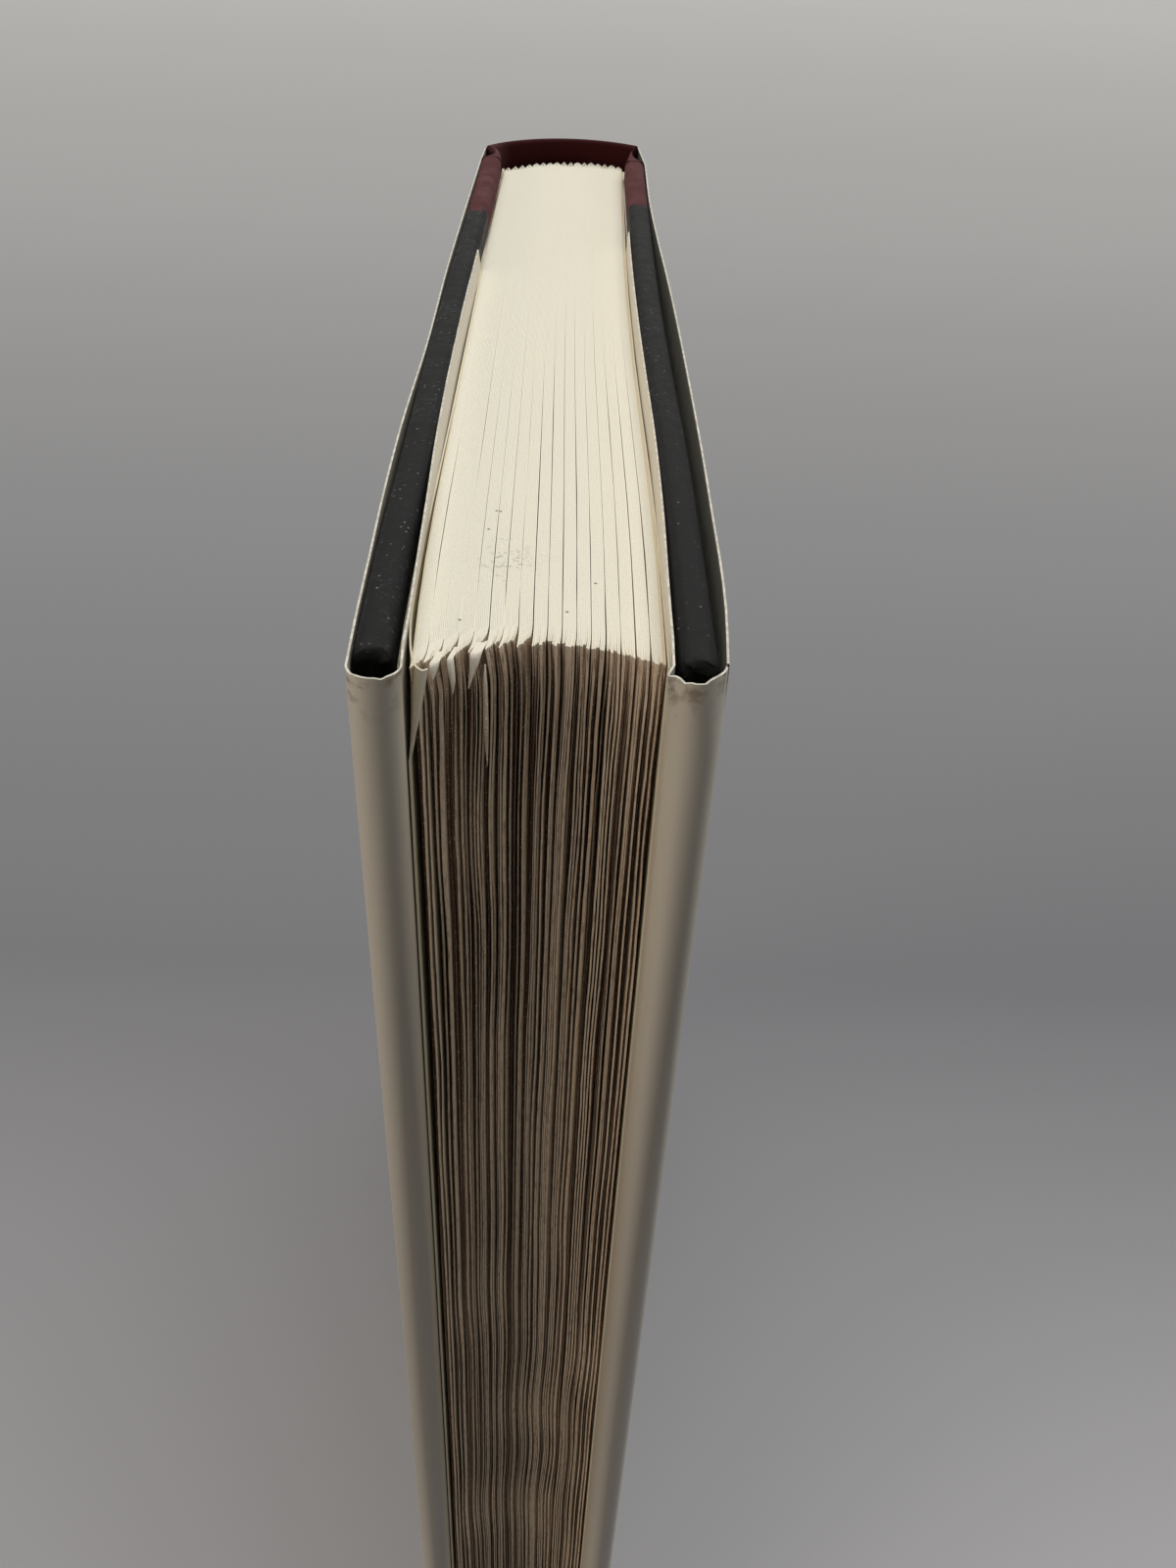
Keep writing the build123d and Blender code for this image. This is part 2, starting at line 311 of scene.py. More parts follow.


# %% [markdown]
# The leaves are uncoated book paper: wood fibres pressed and dried with no glaze, so it is matt and cream. At
# the head a guillotine cut it smooth. The fore edge is a deckle: left as the folded sheets came, each leaf
# end ragged and soft. Ends that stand back are painted darker and browner, as painted shade for the recess
# they lie in. The vertex value `deckle` says where the ragged ends are, and another vertex value says how
# much painted shade each end gets. `tone` gives each section its own tint, and `tan` marks the outer leaf,
# browned by its endpaper.

# %% Finish of the leaves
FIBRE_MM = 0.25
leaf_paper, tree, shader, place = finish_of("uncoated_book_paper", 0.9)
tone, deckle, tan, age = (
    add(tree, "Attribute", attribute_name=name).outputs["Fac"] for name in ("tone", "deckle", "tan", "age")
)
fibres = marks(tree, place, FIBRE_MM, 0.35, 0.7)
cream = layered(tree, "#ECE9DC", (tone, "#EEE9D8"), (fibres, "#E6E3D3"), (tan, "#D9C9A6"))
streaky = add(tree, "Mapping", {"Vector": place, "Scale": (1.0, 1.0, 0.2)}).outputs["Vector"]
grain = marks(tree, streaky, 0.3, 0.52, 0.78, detail=3.0)
flecks = marks(tree, place, 0.2, 0.6, 0.67)
# Colour of the ragged ends: the dark brown is painted shade on ends that stand back; grain and fibre flecks
# are the paper's own.
torn_and_shaded = layered(tree, "#F8E5CE", (age, "#94725A"), (grain, "#A0836A"), (flecks, "#FDF3E2"))
print("leaves: vertex values tone, deckle, tan and age")

# %% [markdown]
# This copy's head has been touched: a grey smudge near the fore edge, patchy like a finger print, and
# a few loose specks. An image could hold them, but a mask that falls off with distance from a point
# needs no file and stays sharp.

# %% Smudge and specks on the head
SMUDGE_PLACE = Vector((-2.9 * MM, -54.5 * MM, head))
SMUDGE_REACH = Vector((3.6 * MM, 3.4 * MM, 1.5 * MM))
SPECKS_MM = ((-4.35, -46.2), (-4.0, -46.3), (-4.85, -49.6), (-6.2, -64.2), (1.9, -62.5), (4.1, -58.0))
SPECK = 0.16 * MM
offset = add(tree, "VectorMath", {0: place, 1: SMUDGE_PLACE}, operation="SUBTRACT").outputs[0]
scaled = add(tree, "VectorMath", {0: offset, 1: SMUDGE_REACH}, operation="DIVIDE").outputs[0]
distance = add(tree, "VectorMath", {0: scaled}, operation="LENGTH").outputs["Value"]
uneven = {0: distance, 1: marks(tree, place, 1.4, 0.2, 0.8), 2: 0.25}
patchy = add(tree, "Math", uneven, operation="MULTIPLY_ADD").outputs[0]
near = add(tree, "MapRange", {"Value": patchy, "From Min": 0.7, "From Max": 0.2}).outputs["Result"]
shade_and_soiling = [(deckle, torn_and_shaded), (near, marks(tree, place, 0.35, 0.52, 0.66, detail=4.0), "#8F897D")]
for x, y in SPECKS_MM:
    away = add(tree, "VectorMath", {0: place, 1: (x * MM, y * MM, head)}, operation="DISTANCE")
    limits = {"Value": away.outputs["Value"], "From Min": SPECK, "From Max": SPECK / 2}
    shade_and_soiling.append((add(tree, "MapRange", limits).outputs["Result"], "#6E6354"))
surface(tree, shader, layered(tree, cream, *shade_and_soiling), (fibres, 0.01))
print(f"{len(SPECKS_MM)} specks on the head")

# %% [markdown]
# Plain papers and boards differ only in colour, patch size and depth of relief, so one function
# makes them. Endpapers are a heavier sheet than the leaves, smoother and warmer, with the cloudy look
# of paper held to light. Inside the case pulp board, a card strip and kraft paper show only from the
# head, in the dark between pages and spine. The jacket's back is bare and greyed by handling, and its
# cut edge is worn to loose fibres.

# %% Finishes of plain paper and board


def mottled(name, roughness, colours, patch_mm, depth_mm, levels=(0.3, 0.7), grain_mm=None):
    """Finish of two colours in soft patches; its relief is the patches or a finer grain."""
    material, tree, shader, place = finish_of(name, roughness)
    patches = marks(tree, place, patch_mm, *levels)
    grain = marks(tree, place, grain_mm, *levels) if grain_mm else patches
    surface(tree, shader, layered(tree, colours[0], (patches, colours[1])), (grain, depth_mm))
    return material


end_paper = mottled("smooth_endpaper", 0.8, ("#E8E1CC", "#DFD8C3"), 3.0, 0.006, grain_mm=FIBRE_MM)
grey_board = mottled("pulp_board", 0.95, ("#8F8778", "#A59C8B"), 0.8, 0.03)
kraft = mottled("kraft_paper", 0.9, ("#A07E57", "#8A6A47"), 0.5, 0.01)
jacket_back = mottled("bare_back_of_art_paper", 0.8, ("#ABA79B", "#9E9A8E"), 2.0, 0.006, grain_mm=FIBRE_MM)
rim_paper = mottled("worn_edge_of_art_paper", 0.85, ("#BEBBB0", "#E2DFD3"), 0.7, 0.02, levels=(0.4, 0.65))

# %% [markdown]
# The boards are covered in dyed cover paper. It is calendered, pressed between hot rollers, which
# gives a low sheen on near black. Every touch shows on it: grey scuffs where the colour is rubbed
# off, and pale dust, most of it on the left. Dust specks are the bright centres of a cell pattern,
# and only some cells are picked, so that they lie as loosely as real dust.

# %% Finish of the cover paper
DUST_SPACING_MM = 0.6
black_paper, tree, shader, place = finish_of("dyed_cover_paper", 0.5, Specular_IOR_Level=0.1)
cloud = marks(tree, place, 1.6, 0.4, 0.75)
spacing = {"Vector": place, "Scale": 1 / (DUST_SPACING_MM * MM), "Randomness": 1.0}
cells = add(tree, "TexVoronoi", spacing, feature="F1").outputs
speck = add(tree, "MapRange", {"Value": cells["Distance"], "From Min": 0.2, "From Max": 0.08})
picked = add(tree, "MapRange", {"Value": cells["Color"], "From Min": 0.5, "From Max": 0.7})
amount = {0: fade(tree, place, "X", half, -half), 1: 0.6, 2: marks(tree, place, 4.0, 0.46, 0.56)}
dust = add(tree, "Math", amount, operation="MULTIPLY_ADD", use_clamp=True)
specks = (speck.outputs["Result"], dust.outputs[0], picked.outputs["Result"], "#77777A")
scuffs = (marks(tree, place, 0.45, 0.55, 0.7, detail=4.0), marks(tree, place, 12.0, 0.5, 0.6), "#3C3D40")
# Painted shadow: the board's fore end, inside the jacket's fold, is painted near black.
painted_fold_shadow = (fade(tree, place, "Y", pages_low.y - 1.6 * MM, pages_low.y - 2.4 * MM), "#070707")
colour = layered(tree, "#141415", (cloud, "#202021"), specks, scuffs, painted_fold_shadow)
rough = add(tree, "MapRange", {"Value": cloud, "To Min": 0.5, "To Max": 0.72})
tree.links.new(rough.outputs["Result"], shader.inputs["Roughness"])
leather, dents = (marks(tree, place, size, 0.3, 0.7) for size in (0.5, 3.0))
surface(tree, shader, colour, (leather, 0.015), (dents, 0.03))

# %% [markdown]
# Book cloth is a plain cotton weave, filled with starch and dyed. Threads run along and across the book about
# half a millimetre apart. The weave is drawn as two crossed waves of the piece's own coordinates, so that it
# keeps its scale where the cloth goes round the spine. Hands have faded it on the boards. From the shoulders
# back over the spine it is painted darker: painted shade for the shaded inside of the spine.

# %% Finish of the book cloth
THREAD_MM = 0.45
TURNS_PER_METRE = 2 * math.pi / (THREAD_MM * MM)
book_cloth, tree, shader, place = finish_of("filled_book_cloth", 0.9, Specular_IOR_Level=0.1)
split = add(tree, "SeparateXYZ", {"Vector": place}).outputs
flat_way = add(tree, "Math", {0: split["X"], 1: split["Y"]}, operation="ADD").outputs[0]
threads = []
for way in (split["Z"], flat_way):
    turns = add(tree, "Math", {0: way, 1: TURNS_PER_METRE}, operation="MULTIPLY").outputs[0]
    threads.append(add(tree, "Math", {0: turns}, operation="SINE").outputs[0])
crossed = add(tree, "Math", dict(enumerate(threads)), operation="MULTIPLY").outputs[0]
weave = add(tree, "MapRange", {"Value": crossed, "From Min": -1.0}).outputs["Result"]
faded = (marks(tree, place, 2.5, 0.35, 0.7), "#604042")
# Painted shade: from the shoulder back over the spine the cloth is painted darker.
painted_spine_shade = (fade(tree, place, "Y", shoulder_y - 2 * MM, shoulder_y + 1 * MM), "#330F10")
surface(tree, shader, layered(tree, "#492A2C", (weave, "#5A3739"), faded, painted_spine_shade), (weave, 0.05))

# %% [markdown]
# The jacket is art paper, coated white on its outer face and calendered, so it has a soft gloss.
# Nothing is printed on this one. Shelves leave a faint grey rub, and the rim of the folds is soiled. The
# folds are also painted darker where a vertex value says: painted shade, strongest half-way up.

# %% Finish of the jacket's face
jacket_face, tree, shader, place = finish_of("coated_art_paper", 0.42)
stretched = add(tree, "Mapping", {"Vector": place, "Scale": (1.0, 1.0, 0.4)}).outputs["Vector"]
rub_and_fold_shade = marks(tree, stretched, 30.0, 0.3, 0.8)
handled = add(tree, "Attribute", attribute_name="handled").outputs["Fac"]
near_rim = fade(tree, place, "Z", jacket_high - 4 * MM, jacket_high - 0.5 * MM)
on_fold = fade(tree, place, "Y", pages_low.y + 0.5 * MM, pages_low.y - 1.0 * MM)
soiled = (near_rim, on_fold, marks(tree, place, 1.1, 0.5, 0.68, detail=4.0), "#8A7A66")
# The grey fold colour is painted shade where a vertex value says; the shelf rub and the soiled rim are real.
colour = layered(tree, "#D9D2C4", (rub_and_fold_shade, "#CFC8B9"), (handled, "#8F877C"), soiled)
surface(tree, shader, colour, (marks(tree, place, 6.0, 0.2, 0.8), 0.03))

# %% [markdown]
# Mull is an open cotton net stiffened with size, glued over the backs of the sections. Its strands
# are bands of a wave. Blender's wave runs through 20 radians in each unit of scaled length, so a
# radian of 1 mm puts the bands 6 mm apart: coarser than real ones, but hardly any of it is seen.

# %% Finish of the mull
WAVE_RADIANS = 20
RADIAN_MM = 1.0
mull_net, tree, shader, place = finish_of("sized_cotton_net", 0.9)
bands = {"Vector": place, "Scale": 1 / (WAVE_RADIANS * RADIAN_MM * MM)}
net = add(tree, "TexWave", bands, bands_direction="Z").outputs["Fac"]
surface(tree, shader, layered(tree, "#B9B2A0", (net, "#DAD4C4")), (net, 0.05))
print("finishes", sorted(m.name for m in bpy.data.materials))

# %% [markdown]
# Nothing on a used book ends abruptly or runs quite straight. `eased` and `falling` make a change
# come and go, and `wander` is smooth, repeatable unevenness along a line. A pattern in a material
# would only shade that; these move the points themselves, so gaps and ragged edges are real.

# %% Tools for unevenness


def eased(t):
    """Smooth step from 0 to 1."""
    return t * t * (3 - 2 * t)


def falling(distance, reach):
    """1 at no distance, and evenly less until it is 0 at the reach and beyond."""
    return np.clip(1 - distance / reach, 0, 1)


KNOTS = 512
KNOTS_BEFORE_ZERO = 100


def wander(seed, t, step):
    """Repeatable smooth noise between -1 and 1 that bends about once every step along t.

    Lines that wander together share a seed, and all the others have their own."""
    knots = np.random.default_rng(seed).uniform(-1, 1, KNOTS)
    spot = np.asarray(t) / step + KNOTS_BEFORE_ZERO
    low = np.floor(spot).astype(int)
    share = eased(spot - low)
    return knots[low % KNOTS] * (1 - share) + knots[(low + 1) % KNOTS] * share


print("wander at three places one step apart:", np.round(wander(0, np.arange(3), 1), 2))

# %% [markdown]
# Nearly every soft piece of a book is a sheet, so one modelling tool does most of the work: `sheet`
# takes two grids of points, the sheet's two faces, and closes the rim between them. That gives a
# thin, watertight solid, which a modifier would give too, but here face, back and rim keep their own
# finish. `raised` and `thickened` make the grids from lines drawn in plan.

# %% Tools for sheets
BUNCHING_AT_HEAD = 1.5


def raised(x, y, z):
    """Grid of points from plan points by column and heights by row."""
    return np.stack(np.broadcast_arrays(x, y, z), -1)


def thickened(x, y, thickness, z):
    """The two faces of a sheet whose middle runs along a plan line given for every row.

    Points that lie on each other have no direction, so they take that of the next column."""
    dx, dy = np.gradient(x, axis=1), np.gradient(y, axis=1)
    for column in range(x.shape[1] - 2, -1, -1):
        still = (dx[:, column] == 0) & (dy[:, column] == 0)
        dx[still, column] = dx[still, column + 1]
        dy[still, column] = dy[still, column + 1]
    length = np.hypot(dx, dy)
    nx, ny = dy / length * thickness / 2, -dx / length * thickness / 2
    return raised(x + nx, y + ny, z), raised(x - nx, y - ny, z)


def bunched(top, bottom, count):
    """Heights of rows from the top down, close together at the head, where we look."""
    return top - (top - bottom) * np.linspace(0, 1, count) ** BUNCHING_AT_HEAD


def sheet(face, back, **values):
    """Points, quads and finish numbers of a sheet: 0 on its face, 1 on its back, 2 on its rim."""
    rows, columns = face.shape[:2]
    number = np.arange(rows * columns).reshape(rows, columns)
    quads = np.stack([number[:-1, :-1], number[:-1, 1:], number[1:, 1:], number[1:, :-1]], -1)
    quads = quads.reshape(-1, 4)
    ring = np.concatenate([number[0, :-1], number[:-1, -1], number[-1, :0:-1], number[:0:-1, 0]])
    after = np.roll(ring, -1)
    other = rows * columns
    rim = np.stack([after, ring, ring + other, after + other], -1)
    return {
        "points": np.concatenate([face.reshape(-1, 3), back.reshape(-1, 3)]),
        "quads": np.concatenate([quads, quads[:, ::-1] + other, rim]),
        "finish": np.repeat([0, 1, 2], [len(quads), len(quads), len(rim)]),
        "values": {name: np.tile(value.reshape(-1), 2) for name, value in values.items()},
    }


# %% [markdown]
# `piece` turns one or more sheets into one object. It points every face outwards, keeps curves smooth and cut
# edges sharp, hides the imported solid that the object stands for, and hangs the object on the body that
# carries it.

# %% From sheets to a piece


def piece(name, node, parts, finish, body=None, sharp_deg=40):
    """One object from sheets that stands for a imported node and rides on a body, if one is given.

    A list of finishes is for face, back and rim; one finish is for all."""

    def joined(arrays):
        return np.concatenate(list(arrays))

    starts = np.cumsum([0] + [len(part["points"]) for part in parts])
    points = joined(part["points"] for part in parts)
    quads = joined(part["quads"] + start for part, start in zip(parts, starts))
    mesh = bpy.data.meshes.new(name)
    mesh.from_pydata(points.tolist(), [], quads.tolist())
    if isinstance(finish, list):
        for one in finish:
            mesh.materials.append(one)
        mesh.polygons.foreach_set("material_index", joined(part["finish"] for part in parts).astype(np.int32))
    else:
        mesh.materials.append(finish)
    for value in parts[0]["values"]:
        attribute = mesh.attributes.new(value, "FLOAT", "POINT")
        attribute.data.foreach_set("value", joined(p["values"][value] for p in parts).astype(np.float32))
    solid = bmesh.new()
    solid.from_mesh(mesh)
    bmesh.ops.recalc_face_normals(solid, faces=solid.faces)
    solid.to_mesh(mesh)
    solid.free()
    mesh.shade_smooth()
    mesh.set_sharp_from_angle(angle=math.radians(sharp_deg))
    made = bpy.data.objects.new(name, mesh)
    bpy.context.scene.collection.objects.link(made)
    if body:
        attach(made, body)
    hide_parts(node)
    return made


# %% [markdown]
# The pages are 17 sections. Each is a stack of four sheets folded together at the spine, which makes
# eight leaves. A block with a striped texture would be simpler, but the camera looks right into the
# gaps. So each folded sheet is one thin solid: up one leaf, round the fold and down its partner. The
# leaves lie tight at the spine and open a little at the fore edge, in small bundles, and real gaps
# give the dark lines.

# %% Where each leaf lies
SECTIONS = 17
SHEETS = 4
LEAVES = 2 * SHEETS
LEAF_ROWS = 66
GROUPINGS = (
    (1, 2, 1, 2, 2), (2, 1, 1, 2, 2), (1, 1, 2, 2, 2), (2, 2, 1, 1, 2), (3, 1, 2, 1, 1), (1, 2, 2, 3),
)
CLOSED_GAP = 0.03
TIGHT_DEPTH = 6 * MM
SWING_STEP = 14 * MM
SWAY_SHARE = 0.4
SWAY_STEP = 2.5 * MM
SWAY_DEPTH = 90 * MM
leaf_count = SECTIONS * LEAVES
pitch = 2 * half / leaf_count
step = pitch * LEAVES
heights = bunched(head, tail, LEAF_ROWS)
below_head = head - heights
dice = np.random.default_rng(17)

bundle_ends = []
bundle_of = []
for section in range(SECTIONS):
    for size in GROUPINGS[dice.integers(len(GROUPINGS))]:
        bundle_of += [len(bundle_ends)] * size
        bundle_ends.append(len(bundle_of))
bundle_of = np.array(bundle_of)
bundles = len(bundle_ends)
across_share = (np.arange(leaf_count) + 0.5) / leaf_count
looseness = np.interp(across_share, [0, 0.12, 0.35, 0.5, 0.7, 1], [1.8, 1.6, 1.4, 1.35, 1.7, 2.0])

gaps = np.full((leaf_count, LEAF_ROWS), CLOSED_GAP * pitch)
tight = np.clip(below_head / TIGHT_DEPTH, 0.12, 1)
for end in bundle_ends[:-1]:
    between_sections = end % LEAVES == 0
    opening = dice.uniform(0.7, 2.2) * (0.5 + 0.8 * tight if between_sections else tight)
    swing = 0.65 + 0.35 * wander(1000 + end, heights, SWING_STEP)
    gaps[end - 1] = pitch * opening * looseness[end - 1] * swing
gaps[-1] = 0
spread = np.cumsum(pitch + gaps, axis=0)
scale = 2 * half / spread[-1]
tip_right = -half + (spread - gaps) * scale
tip_left = tip_right - pitch * scale
for first, end in zip([0] + bundle_ends, bundle_ends):
    room = np.minimum(gaps[max(first, 1) - 1], gaps[end - 1]) * scale
    sway = SWAY_SHARE * room * wander(1500 + end, heights, SWAY_STEP)
    sway = sway * np.clip(1.2 - below_head / SWAY_DEPTH, 0, 1)
    tip_left[first:end] += sway
    tip_right[first:end] += sway
print(f"{bundles} bundles of leaf ends, {leaf_count} leaves {pitch / MM:.3f} mm thick")

# %% [markdown]
# How far each leaf end stands back is what makes a deckle. In the sections on the left each leaf
# stands back further than the one before, which gives the saw-toothed line at the head. Further down,
# wide bundles mostly stand out and narrow ones stand back and read as dark lines. All of it wanders
# slowly, and below the head the ends were pressed more even.

# %% How far each leaf end stands back
fore_hollow = 2.9 * MM
HEAD_FADE = 7 * MM
PRESSED_FROM = 30 * MM
PRESSED_REACH = 70 * MM
PRESSED_SHARE = 0.45
DRIFT_STEP = 22 * MM
FRAY = 0.05 * MM
FRAY_STEP = 1.5 * MM
deepest = np.interp(across_share, [0, 0.1, 0.35, 0.55, 1], [2.4, 2.8, 2.4, 1.9, 1.7]) * MM
tooth_depth = np.interp(across_share, [0, 0.12, 0.2, 0.42, 0.6, 1], [0.4, 0.6, 1.5, 1.2, 0.5, 0.35]) * MM
proud = np.diff([0] + bundle_ends) > 1
contrary = np.interp(np.array(bundle_ends) / leaf_count, [0, 0.25, 0.5, 1], [0.5, 0.5, 0.12, 0.05])
proud = proud ^ (dice.uniform(0, 1, bundles) < contrary)
bundle_depth = np.where(proud, dice.uniform(0, 0.25, bundles), dice.uniform(0.45, 1, bundles))
LAST_BUNDLE_DEPTH = 1.5
bundle_depth[-1] = LAST_BUNDLE_DEPTH
within = (np.arange(leaf_count) % LEAVES) / (LEAVES - 1)
small_teeth = dice.uniform(0, 1, bundles)[bundle_of]
tooth = np.where(across_share < 0.5, within, small_teeth)
near_head = np.exp(-below_head / HEAD_FADE)[None, :]
pressed = 1 - PRESSED_SHARE * np.clip((below_head - PRESSED_FROM) / PRESSED_REACH, 0, 1)
ragged = pressed * (bundle_depth[bundle_of] * deepest)[:, None]
setback = near_head * (tooth_depth * tooth)[:, None] + (1 - near_head) * ragged
setback = setback + FRAY * dice.uniform(0, 1, leaf_count)[:, None]
for leaf in range(leaf_count):
    setback[leaf] *= 1 + 0.3 * wander(2000 + bundle_of[leaf], heights, DRIFT_STEP)
    setback[leaf] += FRAY * (1 + wander(3000 + leaf, heights, FRAY_STEP))
# Painted shade: an end is painted darker the further it stands back, fully at this setback.
FULL_SHADE_SETBACK = 1.5 * MM
recess = np.clip(setback / FULL_SHADE_SETBACK, 0, 1)
print(f"leaf ends stand back by up to {setback.max() / MM:.1f} mm")

# %% [markdown]
# At the head the guillotine dragged the corners of the leaves aside: within the last millimetre or
# two they lean over, each section by its own amount. At the spine the folds were sunk and dipped by
# the binder's backing hammer, and the first leaf has been browned by the endpaper.

# %% What makes each section different
CURL_REACH = 3.5 * MM
CURL_DEPTH = 1.9 * MM
curl = -np.interp(across_share, [0, 0.08, 0.3, 0.5, 1], [0.1, 0.35, 0.45, 0.15, 0.05]) * MM
curl = curl * np.repeat(dice.uniform(0.5, 1.2, SECTIONS), LEAVES)
section_sunk = -dice.uniform(0.2, 0.7, SECTIONS) * MM
section_sunk -= np.linspace(0, 0.6, SECTIONS) * MM
section_sunk[-1] += 0.5 * MM
section_tone = dice.uniform(0, 1, SECTIONS)
spine_dip = dice.uniform(0.05, 0.45, SECTIONS) * MM
TAN_SHARE = np.append([0.75], np.zeros(SECTIONS - 1))
GAP_START = 58 * MM
GAP_STEP = 8 * MM


def section_gap(border, y):
    """Width of the fine gap between two sections at the head, along the leaves."""
    if border in (0, SECTIONS):
        return np.zeros_like(y)
    near_fore = np.clip((shoulder_y - GAP_START - y) / GAP_START, 0, 1) ** 1.5
    widest, usual, swing = (0.12, 0.65, 0.6) if border > SECTIONS / 2 else (0.085, 0.3, 1.0)
    wide = np.clip(usual + swing * wander(4000 + border, y, GAP_STEP), 0, 1)
    return (0.002 + widest * wide * near_fore) * MM


# %% [markdown]
# One leaf is followed from its torn tip to the fold. Its middle part keeps its share of the section.
# Near the tip it opens to the place that its bundle has, and near the spine it fans in to the fold.

# %% One leaf
TIP_COLUMNS = [0, 0.12, 0.5, 1.2, 2.5, 5, 9]
LEAF_COLUMNS = np.array(TIP_COLUMNS + [16, 26, 40, 58, 78, 98, 118, 137]) * MM
OPEN_REACH = 1.6 * MM
SETBACK_REACH = 10 * MM
FAN_REACH = 12 * MM
SHEET_SHARE = 0.94
FOLD_DEPTH = 0.55 * MM


def fore_edge(x):
    """The hollow fore edge, with the lean."""
    return shoulder_y - leaf_width + x * math.tan(lean) + fore_hollow * (1 - (x / half) ** 2)


def leg(section, number, distances):
    """Left and right edge and y of one leaf, by row and column, from its tip to the fold."""
    leaf = section * LEAVES + number
    angle = -shoulder_angle + (section + 0.5) * 2 * shoulder_angle / SECTIONS
    spine_y = around(back_radius - section_sunk[section], angle)[1]
    spine_x = -half + (section + 0.5) * step
    uniform = -half + leaf * pitch
    distance = np.append(distances, leaf_width)
    fold_y = spine_y - FOLD_DEPTH - 0.5 * pitch
    y = np.append(fore_edge(uniform + 0.5 * pitch) + distances, fold_y)
    low = -half - through(PAGES_SIDE["front"], y - shoulder_y)
    wide = half + through(PAGES_SIDE["back"], y - shoulder_y) - low
    low_gap, high_gap = section_gap(section, y) / 2, section_gap(section + 1, y) / 2
    room = wide / SECTIONS - low_gap - high_gap
    left = low + section * wide / SECTIONS + low_gap + room * (number + (1 - SHEET_SHARE) / 2) / LEAVES
    right = left + room * SHEET_SHARE / LEAVES
    fan = eased(falling(fold_y - y, FAN_REACH))
    spine_middle = spine_x + (number + 0.5 - SHEETS) * pitch
    left = left + fan * (spine_middle - 0.5 * SHEET_SHARE * pitch - left)
    right = right + fan * (spine_middle + 0.5 * SHEET_SHARE * pitch - right)
    opened = np.exp(-distance / (OPEN_REACH * (0.35 + 0.65 * tight))[:, None])
    bent = curl[leaf] * falling(below_head, CURL_REACH)[:, None] ** 1.3
    bent = bent * falling(distance, CURL_DEPTH) ** 1.2
    left = left + opened * (tip_left[leaf] - uniform)[:, None] + bent
    right = right + opened * (tip_right[leaf] - uniform - pitch)[:, None] + bent
    y = y + setback[leaf][:, None] * falling(distance, SETBACK_REACH)
    return left, right, y


print(f"each leaf has {len(LEAF_COLUMNS) + 1} columns of {LEAF_ROWS} points before its fold")

# %% [markdown]
# Two leaves and the fold between them are one sheet of paper, so they make one mesh. Its face runs
# round the outside of the fold and its back round the inside. The four sheets of a section are
# joined in one object, because they are sewn as one and have the same shade.

# %% Build the sections
DIP_DEPTH = 3 * MM
TORN_WIDTH = 1.6 * MM
TORN_AT_HEAD = 0.35
LEAST_FOLD = 0.01 * MM
UNEVEN_CUT = 0.02 * MM
CUT_DEPTH = 0.1 * MM
fold_turn = np.linspace(0, math.pi, 5)


def folded_sheet(section, number, distances):
    """One folded sheet of a section: leaf, fold and partner leaf."""
    left_out, left_in, left_y = leg(section, number, distances)
    right_in, right_out, right_y = leg(section, LEAVES - 1 - number, distances)
    middle = (left_out[:, -1:] + right_out[:, -1:]) / 2
    outer, inner = (right_out[:, -1:] - left_out[:, -1:]) / 2, (right_in[:, -1:] - left_in[:, -1:]) / 2
    depth = FOLD_DEPTH * outer / (step / 2)
    inner_depth = np.maximum(depth - outer + inner, LEAST_FOLD)
    uneven = UNEVEN_CUT * dice.uniform(0, 1)
    dip = spine_dip[section] * falling(below_head, DIP_DEPTH)[:, None]
    dipped = np.concatenate([0 * distances, np.abs(np.cos(fold_turn)), 0 * distances])
    z = heights[:, None] - uneven * (heights > head - CUT_DEPTH)[:, None] - dip * dipped

    def run(left, right, reach, deep):
        fold_y = left_y[:, -1:] + deep * np.sin(fold_turn) ** 2
        x = np.hstack([left[:, :-1], middle - reach * np.cos(fold_turn), right[:, -2::-1]])
        return raised(x, np.hstack([left_y[:, :-1], fold_y, right_y[:, -2::-1]]), z)

    face, back = run(left_out, right_out, outer, depth), run(left_in, right_in, inner, inner_depth)
    from_tip = np.concatenate([distances, [leaf_width] * len(fold_turn), distances[::-1]])
    deckle = np.repeat(falling(from_tip, TORN_WIDTH)[None, :], LEAF_ROWS, 0)
    deckle[0] *= TORN_AT_HEAD
    on_left = np.arange(len(from_tip)) < len(from_tip) // 2
    first = section * LEAVES
    # Painted shade for the ends of both legs, from how far each stands back.
    age = np.where(on_left, recess[first + number][:, None], recess[first + LEAVES - 1 - number][:, None])
    left_tan = TAN_SHARE[section] * (number == 0)
    right_tan = TAN_SHARE[SECTIONS - 1 - section] * (number < 2)
    tan = np.where(on_left, left_tan, right_tan) + 0 * deckle
    tone = np.full(deckle.shape, section_tone[section])
    return sheet(face, back, tan=tan, deckle=deckle, tone=tone, age=age)


triangles = 0
for section in range(SECTIONS):
    sheets = [folded_sheet(section, number, LEAF_COLUMNS) for number in range(SHEETS)]
    name = f"section_{section + 1:02d}"
    made = piece(name, "text_block", sheets, leaf_paper, "book_block", sharp_deg=50)
    triangles += 2 * len(made.data.polygons)
print(f"{SECTIONS} sections, {triangles} triangles")

# %% [markdown]
# A few corners were caught by the guillotine and hang folded over the fore edge. Each is a small
# curved flake of paper, given by its height and its two sides from the top down.

